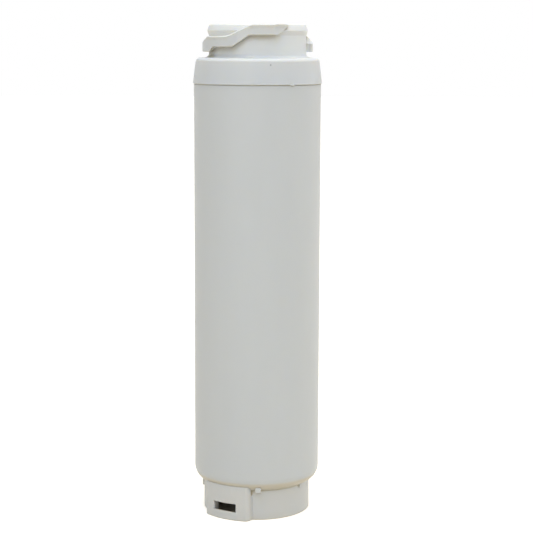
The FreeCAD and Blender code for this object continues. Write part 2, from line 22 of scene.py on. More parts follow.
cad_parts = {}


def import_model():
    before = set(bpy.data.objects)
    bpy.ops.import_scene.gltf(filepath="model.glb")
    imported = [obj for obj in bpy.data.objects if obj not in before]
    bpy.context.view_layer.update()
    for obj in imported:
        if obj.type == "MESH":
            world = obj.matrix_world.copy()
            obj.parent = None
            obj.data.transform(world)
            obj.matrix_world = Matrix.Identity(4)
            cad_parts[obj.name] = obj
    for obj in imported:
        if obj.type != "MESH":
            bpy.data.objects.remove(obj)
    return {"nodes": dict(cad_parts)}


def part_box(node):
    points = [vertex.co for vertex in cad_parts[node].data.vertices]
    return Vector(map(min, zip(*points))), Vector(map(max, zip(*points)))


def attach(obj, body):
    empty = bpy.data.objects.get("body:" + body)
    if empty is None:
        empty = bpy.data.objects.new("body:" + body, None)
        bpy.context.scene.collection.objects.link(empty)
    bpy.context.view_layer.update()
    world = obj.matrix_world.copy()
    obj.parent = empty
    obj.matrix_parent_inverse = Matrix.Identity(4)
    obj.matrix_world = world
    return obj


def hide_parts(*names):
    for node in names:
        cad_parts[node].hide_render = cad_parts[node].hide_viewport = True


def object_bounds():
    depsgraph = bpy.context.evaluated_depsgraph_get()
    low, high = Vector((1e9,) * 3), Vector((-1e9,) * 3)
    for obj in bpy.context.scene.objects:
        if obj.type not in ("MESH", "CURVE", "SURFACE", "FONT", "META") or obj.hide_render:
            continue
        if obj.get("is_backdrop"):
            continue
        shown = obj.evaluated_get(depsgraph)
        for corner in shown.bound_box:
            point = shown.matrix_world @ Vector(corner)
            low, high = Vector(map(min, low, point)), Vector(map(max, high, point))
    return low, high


log = logging.getLogger("cartridge")

MM = 0.001
BODY = "root"
UP = Vector((0, 0, 1))
# Stands a plan up, so that its top is towards +Z and it is seen from the front.
STANDING = Matrix.Rotation(math.pi / 2, 4, "X")
TURNING_STEPS = 192
ARC_STEP = math.radians(7.5)
MERGE_MM = 0.0005
CREASE_ANGLE = math.radians(35)
POCKET_BLEND = 0.01
BALL_RADIUS = 0.5
WHITE = "#ffffff"
HEX_FULL = 255
SRGB_KNEE, SRGB_SLOPE, SRGB_OFFSET, SRGB_POWER = 0.04045, 12.92, 0.055, 2.4


class Cut(Enum):
    """How one solid acts on another."""

    JOIN = "UNION"
    TAKE = "DIFFERENCE"
    KEEP = "INTERSECT"


class Node(str, Enum):
    """The cartridge's pieces in the CAD frame."""

    SHELL = "housing_shell"
    CLOSURE = "top_closure"
    STEM = "port_stem"
    INLET_SEAL = "inlet_o_ring"
    OUTLET_SEAL = "outlet_o_ring"
    UPPER_CAP = "upper_end_cap"
    CAP_SEAL = "end_cap_o_ring"
    BLOCK = "carbon_block"
    WRAP = "prefilter_wrap"
    NET = "support_net"
    LOWER_CAP = "lower_end_cap"
    BASE = "base_cap"


class Slot(str, Enum):
    """The record's material slots for the pieces that are modelled here."""

    SHELL = "shell_plastic"
    CLOSURE = "closure_plastic"
    BASE = "base_plastic"
    STEM = "stem_plastic"
    SEAL = "seal_rubber"


@dataclass(frozen=True)
class Corner:
    """A corner of an outline in millimetres, and the radius that rounds it."""

    across: float
    up: float
    rounding: float = 0.0


def arc(centre: Vector, radius: float, start: float, sweep: float) -> list[Vector]:
    """Draw an arc.

    Args:
        centre: its middle.
        radius: its radius.
        start: the angle of its first point, in radians.
        sweep: the angle that it covers, negative for clockwise.

    Returns:
        The arc's points, both ends included.
    """
    steps = max(2, math.ceil(abs(sweep) / ARC_STEP))
    angles = [start + sweep * step / steps for step in range(steps + 1)]
    return [centre + Vector((math.cos(angle), math.sin(angle))) * radius for angle in angles]


def rounded(corners: Sequence[Corner]) -> list[Vector]:
    """Draw an outline, with an arc at each rounded corner.

    Args:
        corners: the outline's corners in order. An open outline has no rounding at its two ends.

    Returns:
        The outline's points.
    """
    points: list[Vector] = []
    count = len(corners)
    for index, corner in enumerate(corners):
        here = Vector((corner.across, corner.up))
        if not corner.rounding:
            points.append(here)
            continue
        before, after = corners[index - 1], corners[(index + 1) % count]
        back = (Vector((before.across, before.up)) - here).normalized()
        onward = (Vector((after.across, after.up)) - here).normalized()
        half = back.angle(onward) / 2
        centre = here + (back + onward).normalized() * (corner.rounding / math.sin(half))
        spoke = here + back * (corner.rounding / math.tan(half)) - centre
        sweep = math.copysign(math.pi - 2 * half, onward.cross(back))
        points += arc(centre, corner.rounding, math.atan2(spoke.y, spoke.x), sweep)
    return points


def tidied(solid: BMesh) -> BMesh:
    """Merge a solid's doubles and turn its faces outwards.

    Args:
        solid: the solid, changed in place.

    Returns:
        The same solid.
    """
    bmesh.ops.remove_doubles(solid, verts=solid.verts, dist=MERGE_MM)
    bmesh.ops.dissolve_degenerate(solid, edges=solid.edges, dist=MERGE_MM)
    bmesh.ops.recalc_face_normals(solid, faces=solid.faces)
    return solid


def turned(corners: Sequence[Corner], closed: bool = True) -> BMesh:
    """Turn an outline of radii and levels about the cartridge's axis.

    Args:
        corners: the outline; an open one starts and ends on the axis.
        closed: whether the last corner joins the first one.

    Returns:
        The turned solid.
    """
    solid = bmesh.new()
    spots = [solid.verts.new((spot.x, 0, spot.y)) for spot in rounded(corners)]
    following = spots[1:] + spots[:1] if closed else spots[1:]
    lines = [solid.edges.new(pair) for pair in zip(spots, following)]
    bmesh.ops.spin(
        solid,
        geom=spots + lines,
        axis=UP,
        cent=(0, 0, 0),
        angle=math.tau,
        steps=TURNING_STEPS,
        use_merge=True,
    )
    return tidied(solid)


def rod(radius: float, low: float, high: float, rounding: float = 0.0) -> BMesh:
    """Turn a plain rod about the cartridge's axis.

    Args:
        radius: its radius.
        low: the level of its lower end.
        high: the level of its upper end.
        rounding: the radius that rounds its upper edge.

    Returns:
        The rod.
    """
    corners = [Corner(0, low), Corner(radius, low), Corner(radius, high, rounding), Corner(0, high)]
    return turned(corners, closed=False)


def prism(outline: Sequence[Vector], low: float, high: float) -> BMesh:
    """Push a flat outline up between two levels.

    Args:
        outline: the outline's points in order.
        low: the level of its lower face.
        high: the level of its upper face.

    Returns:
        The prism.
    """
    solid = bmesh.new()
    face = solid.faces.new([solid.verts.new((spot.x, spot.y, low)) for spot in outline])
    grown = bmesh.ops.extrude_face_region(solid, geom=[face])["geom"]
    top = [item for item in grown if isinstance(item, BMVert)]
    bmesh.ops.translate(solid, vec=UP * (high - low), verts=top)
    return tidied(solid)


def rectangle(low: Corner, high: Corner) -> list[Vector]:
    """The outline of a rectangle between two opposite corners, rounded as the second one says."""
    corners = [(low.across, low.up), (high.across, low.up), (high.across, high.up), (low.across, high.up)]
    return rounded([Corner(across, up, high.rounding) for across, up in corners])


def placed(solid: BMesh, matrix: Matrix) -> BMesh:
    """Place a solid by a matrix, and return the same solid."""
    bmesh.ops.transform(solid, matrix=matrix, verts=solid.verts)
    return solid


def facing(azimuth: float) -> Matrix:
    """The turn that points a plan's X axis out along an azimuth."""
    return Matrix.Rotation(math.radians(azimuth) - math.pi / 2, 4, "Z")


def half_turned(solid: BMesh) -> BMesh:
    """A copy of a solid on the other side of the axis."""
    return placed(solid.copy(), Matrix.Rotation(math.pi, 4, "Z"))


def bevelled(solid: BMesh, edges: Iterable[BMEdge], width: float, segments: int = 4) -> BMesh:
    """Round edges of a solid.

    Args:
        solid: the solid, changed in place.
        edges: the edges to round.
        width: how far the round reaches from each edge.
        segments: how many facets make up the round.

    Returns:
        The same solid.
    """
    bmesh.ops.bevel(
        solid, geom=list(edges), offset=width, segments=segments, profile=0.5, affect="EDGES", material=-1
    )
    return tidied(solid)


def trimmed(solid: BMesh, spot: Sequence[float], outward: Sequence[float]) -> BMesh:
    """Cut a solid off along a plane and close it.

    Args:
        solid: the solid, changed in place.
        spot: a point of the plane.
        outward: the way to the side that goes.

    Returns:
        The same solid.
    """
    whole = solid.verts[:] + solid.edges[:] + solid.faces[:]
    cut = bmesh.ops.bisect_plane(solid, geom=whole, plane_co=spot, plane_no=outward, clear_outer=True)
    rim = [item for item in cut["geom_cut"] if isinstance(item, BMEdge)]
    bmesh.ops.holes_fill(solid, edges=rim)
    return tidied(solid)


def as_object(name: str, solid: BMesh) -> bpy.types.Object:
    """Put a solid in the scene under a name.

    Args:
        name: the object's and the mesh's name.
        solid: the solid, which is freed.

    Returns:
        The object, at the origin.
    """
    mesh = bpy.data.meshes.new(name)
    solid.to_mesh(mesh)
    solid.free()
    thing = bpy.data.objects.new(name, mesh)
    bpy.context.scene.collection.objects.link(thing)
    return thing


def combined(body: BMesh, how: Cut, *tools: BMesh) -> BMesh:
    """Join, cut or trim a solid by others, one after another. All of them are freed.

    Args:
        body: the solid that is worked on.
        how: what each tool does to it.
        tools: the solids that do it.

    Returns:
        The new solid.
    """
    blank = as_object("blank", body)
    things = [blank]
    for tool in tools:
        things.append(as_object("tool", tool))
        modifier = blank.modifiers.new("work", "BOOLEAN")
        modifier.operation = how.value
        modifier.solver = "MANIFOLD"
        modifier.object = things[-1]
    worked = blank.evaluated_get(bpy.context.evaluated_depsgraph_get())
    result = bmesh.new()
    result.from_mesh(worked.to_mesh())
    worked.to_mesh_clear()
    for thing in things:
        mesh = thing.data
        bpy.data.objects.remove(thing)
        bpy.data.meshes.remove(mesh)
    return tidied(result)


def levels(node: Node) -> tuple[float, float]:
    """The lowest and the highest level of a CAD node, in millimetres."""
    low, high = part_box(node.value)
    return low.z / MM, high.z / MM


def linear(colour: str) -> tuple[float, float, float, float]:
    """Turn an sRGB colour to linear light.

    Args:
        colour: the colour as a hex value.

    Returns:
        Its red, green, blue and alpha.
    """
    shares = [int(colour[index:index + 2], 16) / HEX_FULL for index in (1, 3, 5)]
    red, green, blue = (
        share / SRGB_SLOPE
        if share <= SRGB_KNEE
        else ((share + SRGB_OFFSET) / (1 + SRGB_OFFSET)) ** SRGB_POWER
        for share in shares
    )
    return red, green, blue, 1.0


def add_node(
    tree: bpy.types.NodeTree,
    kind: str,
    settings: Mapping[str, object] | None = None,
    sockets: Mapping[str | int, object] | None = None,
) -> bpy.types.Node:
    """Add a node to a tree.

    Args:
        tree: the tree.
        kind: the node's type.
        settings: its properties by name.
        sockets: its inputs by name or place, each a value or the output that feeds it.

    Returns:
        The node.
    """
    node = tree.nodes.new(kind)
    for name, value in (settings or {}).items():
        setattr(node, name, value)
    for name, value in (sockets or {}).items():
        if isinstance(value, bpy.types.NodeSocket):
            tree.links.new(value, node.inputs[name])
        else:
            node.inputs[name].default_value = value
    return node


MIX_FACTOR, MIX_FIRST, MIX_SECOND, MIX_RESULT = 0, 6, 7, 2
MIX_COLOURS = {"data_type": "RGBA"}


@dataclass(frozen=True)
class Finish:
    """What a surface is made of, with typical values for it."""

    name: str
    colour: str
    roughness: float
    ior: float

    def sockets(self, tree: bpy.types.NodeTree) -> dict[str, object]:
        """Draw the finish's patterns.

        Args:
            tree: the material's nodes.

        Returns:
            What each of the shader's inputs gets.
        """
        raise NotImplementedError

    def material(self) -> bpy.types.Material:
        """Make the finish's material.

        Returns:
            The material.
        """
        made = bpy.data.materials.new(self.name)
        made.use_nodes = True
        tree = made.node_tree
        tree.nodes.clear()
        sockets = {"IOR": self.ior, **self.sockets(tree)}
        shader = add_node(tree, "ShaderNodeBsdfPrincipled", sockets=sockets)
        add_node(tree, "ShaderNodeOutputMaterial", sockets={"Surface": shader.outputs[0]})
        return made


@dataclass(frozen=True)
class Speck:
    """A dark fleck in the plastic: its place, its width, the width of its full tone, and its colour."""

    place: tuple[float, float, float]
    width: float
    core: float
    colour: str


@dataclass(frozen=True)
class PaintedPocketShade:
    """Painted shade for a hollow that light hardly enters: its middle, size, facing and painted dark tone.
    """

    middle: tuple[float, float, float]
    size: tuple[float, float, float]
    azimuth: float
    colour: str


@dataclass(frozen=True)
class MouldedPlastic(Finish):
    """White polypropylene from a satin mould: a soft sheen, faint flow clouds and a depth that light enters.

    Painted light and shade lie over its colour: painted shade where it leans, under overhangs and in its
    crevices, where a lighter crevice tone is painted light instead, and painted light where its wall is
    thin.
    The mould's own grain is finer than a pixel, so it is drawn coarser, at a size that shows.

    Attributes:
        cloud: the tone of the flow clouds.
        painted_crevice_shading: painted shade in crevices, and painted light where its tone is lighter than
            the body. It fades
        out where crevice_open of the surroundings are open.
        painted_lean_shade: painted shade on faces that lean, as their normals' height goes from lean_start
            to lean_full.
        painted_shelter_shade: painted shade under an overhang, as the share of open sky goes from
            shelter_open to shelter_full.
        thin: painted light where the wall is thin, as the radius goes from the first to the second of
            thin_radius.
    """

    cloud: str = "#c9cccc"
    painted_crevice_shading: str = "#c2bca8"
    painted_lean_shade: str = "#c6c5be"
    ior: float = 1.49
    roughness: float = 0.46
    roughness_play: float = 0.08
    cloud_size: float = 16.0
    cloud_stretch: float = 0.2
    cloud_detail: float = 3.0
    gloss_size: float = 8.0
    gloss_detail: float = 4.0
    grain_size: float = 0.7
    grain_depth: float = 0.006
    grain_detail: float = 2.0
    edge_round: float = 0.18
    edge_samples: int = 6
    crevice_reach: float = 3.0
    crevice_open: float = 0.5
    crevice_samples: int = 8
    lean_start: float = -0.25
    lean_full: float = -0.5
    glow: float = 0.5
    glow_depth: float = 3.0
    glow_spread: tuple[float, float, float] = (1.0, 0.85, 0.6)
    painted_shelter_shade: str | None = None
    shelter_open: float = 0.6
    shelter_full: float = 0.38
    thin: str | None = None
    thin_radius: tuple[float, float] = (0.0, 0.0)
    speck: Speck | None = None
    pocket: PaintedPocketShade | None = None

    def pattern(self, tree: bpy.types.NodeTree) -> bpy.types.NodeSocket:
        """Draw the plastic's colour: flow clouds, a speck, and the painted light and shade of its form and
        pocket.

        Args:
            tree: the material's nodes.

        Returns:
            The colour.
        """
        place = add_node(tree, "ShaderNodeTexCoord").outputs["Object"]
        drawn = add_node(
            tree, "ShaderNodeMapping", sockets={"Vector": place, "Scale": (1, 1, self.cloud_stretch)}
        ).outputs[0]
        clouds = add_node(
            tree,
            "ShaderNodeTexNoise",
            sockets={"Vector": drawn, "Scale": 1 / (self.cloud_size * MM), "Detail": self.cloud_detail},
        ).outputs[0]
        colour = add_node(
            tree,
            "ShaderNodeMix",
            MIX_COLOURS,
            {MIX_FACTOR: clouds, MIX_FIRST: linear(self.colour), MIX_SECOND: linear(self.cloud)},
        ).outputs[MIX_RESULT]
        outward = add_node(tree, "ShaderNodeNewGeometry").outputs["Normal"]
        upward = add_node(tree, "ShaderNodeSeparateXYZ", sockets={0: outward}).outputs["Z"]
        probe = {"samples": self.crevice_samples}
        reach: dict[str | int, object] = {"Distance": self.crevice_reach * MM}
        openness = add_node(tree, "ShaderNodeAmbientOcclusion", probe, reach).outputs["AO"]
        # Painted shade where the surface leans and in crevices; a crevice tone lighter than the body is
        # painted light.
        masks = [
            (upward, self.lean_start, self.lean_full, self.painted_lean_shade),
            (openness, self.crevice_open, 0.0, self.painted_crevice_shading),
        ]
        # Painted shade under an overhang, standing for the shadow that the lugs cast.
        if self.painted_shelter_shade:
            reach["Normal"] = add_node(tree, "ShaderNodeCombineXYZ", sockets={"Z": 1.0}).outputs[0]
            sky = add_node(tree, "ShaderNodeAmbientOcclusion", probe, reach).outputs["AO"]
            masks.append((sky, self.shelter_open, self.shelter_full, self.painted_shelter_shade))
        # Painted light where the wall is thin, as though light came through it.
        if self.thin:
            flat = add_node(
                tree, "ShaderNodeVectorMath", {"operation": "MULTIPLY"}, {0: place, 1: (1, 1, 0)}
            ).outputs[0]
            radius = add_node(
                tree, "ShaderNodeVectorMath", {"operation": "LENGTH"}, {0: flat}
            ).outputs["Value"]
            start, full = self.thin_radius
            masks.insert(0, (radius, start * MM, full * MM, self.thin))
        if self.speck:
            centre = tuple(Vector(self.speck.place) * MM)
            away = add_node(
                tree, "ShaderNodeVectorMath", {"operation": "DISTANCE"}, {0: place, 1: centre}
            ).outputs["Value"]
            edge, core = self.speck.width / 2 * MM, self.speck.core / 2 * MM
            masks.append((away, edge, core, self.speck.colour))
        # Painted shade: a dark tone inside each slot's pocket.
        if self.pocket:
            masks.append((self.pocket_edge(tree, place), 1.0, 1.0 - POCKET_BLEND, self.pocket.colour))
        for value, start, full, tone in masks:
            amount = add_node(
                tree,
                "ShaderNodeMapRange",
                {"interpolation_type": "SMOOTHSTEP"},
                {"Value": value, "From Min": start, "From Max": full},
            ).outputs[0]
            colour = add_node(
                tree,
                "ShaderNodeMix",
                MIX_COLOURS,
                {MIX_FACTOR: amount, MIX_FIRST: colour, MIX_SECOND: linear(tone)},
            ).outputs[MIX_RESULT]
        return colour

    def pocket_edge(self, tree: bpy.types.NodeTree, place: bpy.types.NodeSocket) -> bpy.types.NodeSocket:
        """Measure how far out a spot lies in the pocket or in its twin across the axis.

        Args:
            tree: the material's nodes.
            place: the spot, in object coordinates.

        Returns:
            The measure: 1 at the pocket's sides, less inside it and more outside it.
        """
        turn = math.pi / 2 - math.radians(self.pocket.azimuth)
        laid = add_node(
            tree, "ShaderNodeMapping", sockets={"Vector": place, "Rotation": (0, 0, turn)}
        ).outputs[0]
        mirrored = add_node(tree, "ShaderNodeVectorMath", {"operation": "ABSOLUTE"}, {0: laid}).outputs[0]
        aside = add_node(
            tree,
            "ShaderNodeVectorMath",
            {"operation": "SUBTRACT"},
            {0: mirrored, 1: tuple(Vector(self.pocket.middle) * MM)},
        ).outputs[0]
        share = add_node(
            tree,
            "ShaderNodeVectorMath",
            {"operation": "DIVIDE"},
            {0: aside, 1: tuple(Vector(self.pocket.size) * MM / 2)},
        ).outputs[0]
        share = add_node(tree, "ShaderNodeVectorMath", {"operation": "ABSOLUTE"}, {0: share}).outputs[0]
        along = add_node(tree, "ShaderNodeSeparateXYZ", sockets={0: share}).outputs
        edge = along["X"]
        for other in ("Y", "Z"):
            edge = add_node(
                tree, "ShaderNodeMath", {"operation": "MAXIMUM"}, {0: edge, 1: along[other]}
            ).outputs[0]
        return edge

    def sockets(self, tree: bpy.types.NodeTree) -> dict[str, object]:
        """Draw the plastic's colour, sheen and grain.

        Args:
            tree: the material's nodes.

        Returns:
            What each of the shader's inputs gets.
        """
        place = add_node(tree, "ShaderNodeTexCoord").outputs["Object"]
        grain = add_node(
            tree,
            "ShaderNodeTexNoise",
            sockets={"Vector": place, "Scale": 1 / (self.grain_size * MM), "Detail": self.grain_detail},
        ).outputs[0]
        soft_edges = add_node(
            tree, "ShaderNodeBevel", {"samples": self.edge_samples}, {"Radius": self.edge_round * MM}
        ).outputs[0]
        bump = add_node(
            tree,
            "ShaderNodeBump",
            sockets={"Height": grain, "Distance": self.grain_depth * MM, "Normal": soft_edges},
        ).outputs[0]
        worn = add_node(
            tree,
            "ShaderNodeTexNoise",
            sockets={"Vector": place, "Scale": 1 / (self.gloss_size * MM), "Detail": self.gloss_detail},
        ).outputs[0]
        roughness = add_node(
            tree,
            "ShaderNodeMapRange",
            sockets={
                "Value": worn,
                "To Min": self.roughness - self.roughness_play,
                "To Max": self.roughness + self.roughness_play,
            },
        ).outputs[0]
        return {
            "Base Color": self.pattern(tree),
            "Roughness": roughness,
            "Normal": bump,
            "Subsurface Weight": self.glow,
            "Subsurface Scale": self.glow_depth * MM,
            "Subsurface Radius": self.glow_spread,
        }


@dataclass(frozen=True)
class SealRubber(Finish):
    """Black EPDM rubber with a film of silicone grease: dark, with a soft, uneven shine."""

    colour: str = "#141414"
    ior: float = 1.5
    roughness: float = 0.38
    roughness_share: float = 0.5
    bloom: str = "#2b2b2a"
    bloom_size: float = 2.5
    bloom_detail: float = 4.0
    skin_size: float = 0.5
    skin_depth: float = 0.01

    def sockets(self, tree: bpy.types.NodeTree) -> dict[str, object]:
        """Draw the rubber's bloom and its skin.

        Args:
            tree: the material's nodes.

        Returns:
            What each of the shader's inputs gets.
        """
        place = add_node(tree, "ShaderNodeTexCoord").outputs["Object"]
        bloom = add_node(
            tree,
            "ShaderNodeTexNoise",
            sockets={"Vector": place, "Scale": 1 / (self.bloom_size * MM), "Detail": self.bloom_detail},
        ).outputs[0]
        colour = add_node(
            tree,
            "ShaderNodeMix",
            MIX_COLOURS,
            {MIX_FACTOR: bloom, MIX_FIRST: linear(self.colour), MIX_SECOND: linear(self.bloom)},
        ).outputs[MIX_RESULT]
        roughness = add_node(
            tree,
            "ShaderNodeMapRange",
            sockets={
                "Value": bloom,
                "To Min": self.roughness * (1 - self.roughness_share),
                "To Max": self.roughness * (1 + self.roughness_share),
            },
        ).outputs[0]
        skin = add_node(
            tree, "ShaderNodeTexNoise", sockets={"Vector": place, "Scale": 1 / (self.skin_size * MM)}
        ).outputs[0]
        bump = add_node(
            tree, "ShaderNodeBump", sockets={"Height": skin, "Distance": self.skin_depth * MM}
        ).outputs[0]
        return {"Base Color": colour, "Roughness": roughness, "Normal": bump}


@dataclass(frozen=True)
class BoundCarbon(Finish):
    """Carbon grains sintered with a binder: nearly black, gritty, with grey glints on the grains."""

    ior: float = 1.6
    roughness: float = 0.8
    glint: str = "#3a3a3c"
    grain_size: float = 0.6
    grain_depth: float = 0.15

    def sockets(self, tree: bpy.types.NodeTree) -> dict[str, object]:
        """Draw the carbon's grains.

        Args:
            tree: the material's nodes.

        Returns:
            What each of the shader's inputs gets.
        """
        place = add_node(tree, "ShaderNodeTexCoord").outputs["Object"]
        grains = add_node(
            tree, "ShaderNodeTexVoronoi", sockets={"Vector": place, "Scale": 1 / (self.grain_size * MM)}
        )
        colour = add_node(
            tree,
            "ShaderNodeMix",
            MIX_COLOURS,
            {MIX_FACTOR: grains.outputs[0], MIX_FIRST: linear(self.colour), MIX_SECOND: linear(self.glint)},
        ).outputs[MIX_RESULT]
        bump = add_node(
            tree,
            "ShaderNodeBump",
            {"invert": True},
            {"Height": grains.outputs[0], "Distance": self.grain_depth * MM},
        ).outputs[0]
        return {"Base Color": colour, "Roughness": self.roughness, "Normal": bump}


@dataclass(frozen=True)
class FeltedWrap(Finish):
    """Non-woven polypropylene felt: off-white fibres that cross at all angles, and a dull, soft sheen."""

    ior: float = 1.49
    roughness: float = 0.9
    hollow: str = "#b9b8b2"
    fibre_size: float = 0.8
    fibre_stretch: float = 0.12
    fibre_depth: float = 0.12
    fibre_detail: float = 3.0
    fibre_turns: tuple[float, float] = (30.0, -40.0)
    sheen: float = 0.2

    def sockets(self, tree: bpy.types.NodeTree) -> dict[str, object]:
        """Draw two crossing layers of fibres.

        Args:
            tree: the material's nodes.

        Returns:
            What each of the shader's inputs gets.
        """
        place = add_node(tree, "ShaderNodeTexCoord").outputs["Object"]
        layers: list[bpy.types.NodeSocket] = []
        stretch = (1, 1, self.fibre_stretch)
        for degrees in self.fibre_turns:
            turn = (math.radians(degrees),) * 3
            laid = add_node(
                tree, "ShaderNodeMapping", sockets={"Vector": place, "Rotation": turn, "Scale": stretch}
            ).outputs[0]
            fibre = add_node(
                tree,
                "ShaderNodeTexNoise",
                sockets={"Vector": laid, "Scale": 1 / (self.fibre_size * MM), "Detail": self.fibre_detail},
            )
            layers.append(fibre.outputs[0])
        fibres = add_node(
            tree, "ShaderNodeMath", {"operation": "MAXIMUM"}, {0: layers[0], 1: layers[1]}
        ).outputs[0]
        colour = add_node(
            tree,
            "ShaderNodeMix",
            MIX_COLOURS,
            {MIX_FACTOR: fibres, MIX_FIRST: linear(self.hollow), MIX_SECOND: linear(self.colour)},
        ).outputs[MIX_RESULT]
        bump = add_node(
            tree, "ShaderNodeBump", sockets={"Height": fibres, "Distance": self.fibre_depth * MM}
        ).outputs[0]
        return {
            "Base Color": colour,
            "Roughness": self.roughness,
            "Normal": bump,
            "Sheen Weight": self.sheen,
        }


@dataclass
class ModelledPiece:
    """A piece that is modelled here and stands for its CAD node."""

    finish: Finish

    name: ClassVar[str]
    node: ClassVar[Node]
    slot: ClassVar[Slot]

    def solid(self) -> BMesh:
        """Model the piece, and return its solid."""
        raise NotImplementedError

    def make(self) -> bpy.types.Object:
        """Finish the piece's mesh, dress it and set it in the frame.

        Returns:
            The finished piece.
        """
        solid = placed(self.solid(), Matrix.Scale(MM, 4))
        open_edges = sum(not edge.is_manifold for edge in solid.edges)
        if open_edges:
            log.warning("%s: %d open edges", self.name, open_edges)
        for face in solid.faces:
            face.smooth = True
        piece = as_object(self.name, solid)
        piece.data.set_sharp_from_angle(angle=CREASE_ANGLE)
        even = piece.modifiers.new("even_shading", "WEIGHTED_NORMAL")
        even.keep_sharp = True
        piece.data.materials.append(self.finish.material())
        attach(piece, BODY)
        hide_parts(self.node.value)
        return piece


@dataclass
class HousingShell(ModelledPiece):
    """The deep moulded cup: rounded corner, weld tongue, spigot and the key tooth on its corner."""

    name: ClassVar[str] = "shell_moulding"
    node: ClassVar[Node] = Node.SHELL
    slot: ClassVar[Slot] = Slot.SHELL

    radius: float = 34.2
    wall: float = 2.8
    corner: float = 8.0
    weld_round: float = 0.45
    tongue_width: float = 1.2
    tongue_height: float = 4.5
    spigot_radius: float = 6.0
    spigot_length: float = 2.4
    spigot_round: float = 0.4
    tooth_offset: float = 1.0
    tooth_width: float = 3.1
    tooth_height: float = 2.7
    tooth_depth: float = 4.5
    tooth_lift: float = 0.2
    tooth_inset: float = 1.2
    tooth_round: float = 0.8
    tooth_edge: float = 0.35

    def cup(self) -> BMesh:
        """Turn the cup.

        Returns:
            The cup.
        """
        spigot_end, tongue_top = levels(self.node)
        under = spigot_end + self.spigot_length
        weld = tongue_top - self.tongue_height
        bore = self.radius - self.wall
        return turned(
            [
                Corner(0, spigot_end),
                Corner(self.spigot_radius, spigot_end, self.spigot_round),
                Corner(self.spigot_radius, under),
                Corner(self.radius, under, self.corner),
                Corner(self.radius, weld, self.weld_round),
                Corner(bore + self.tongue_width, weld),
                Corner(bore + self.tongue_width, tongue_top),
                Corner(bore, tongue_top),
                Corner(bore, under + self.wall, self.corner - self.wall),
                Corner(0, under + self.wall),
            ],
            closed=False,
        )

    def tooth(self) -> BMesh:
        """Model the key tooth.

        Returns:
            The tooth.
        """
        low = levels(self.node)[0] + self.spigot_length + self.tooth_lift
        left = self.tooth_offset - self.tooth_width / 2
        right = self.tooth_offset + self.tooth_width / 2
        front = self.radius - self.tooth_inset
        outline = rounded(
            [
                Corner(left, low),
                Corner(right, low),
                Corner(right, low + self.tooth_height, self.tooth_round),
                Corner(left, low + self.tooth_height, self.tooth_round),
            ]
        )
        solid = placed(prism(outline, front - self.tooth_depth, front), STANDING)
        front_edges = [
            edge for edge in solid.edges if all(vert.co.y < -front + MERGE_MM for vert in edge.verts)
        ]
        return bevelled(solid, front_edges, self.tooth_edge)

    def solid(self) -> BMesh:
        """Model the piece, and return its solid."""
        return combined(self.cup(), Cut.JOIN, self.tooth())


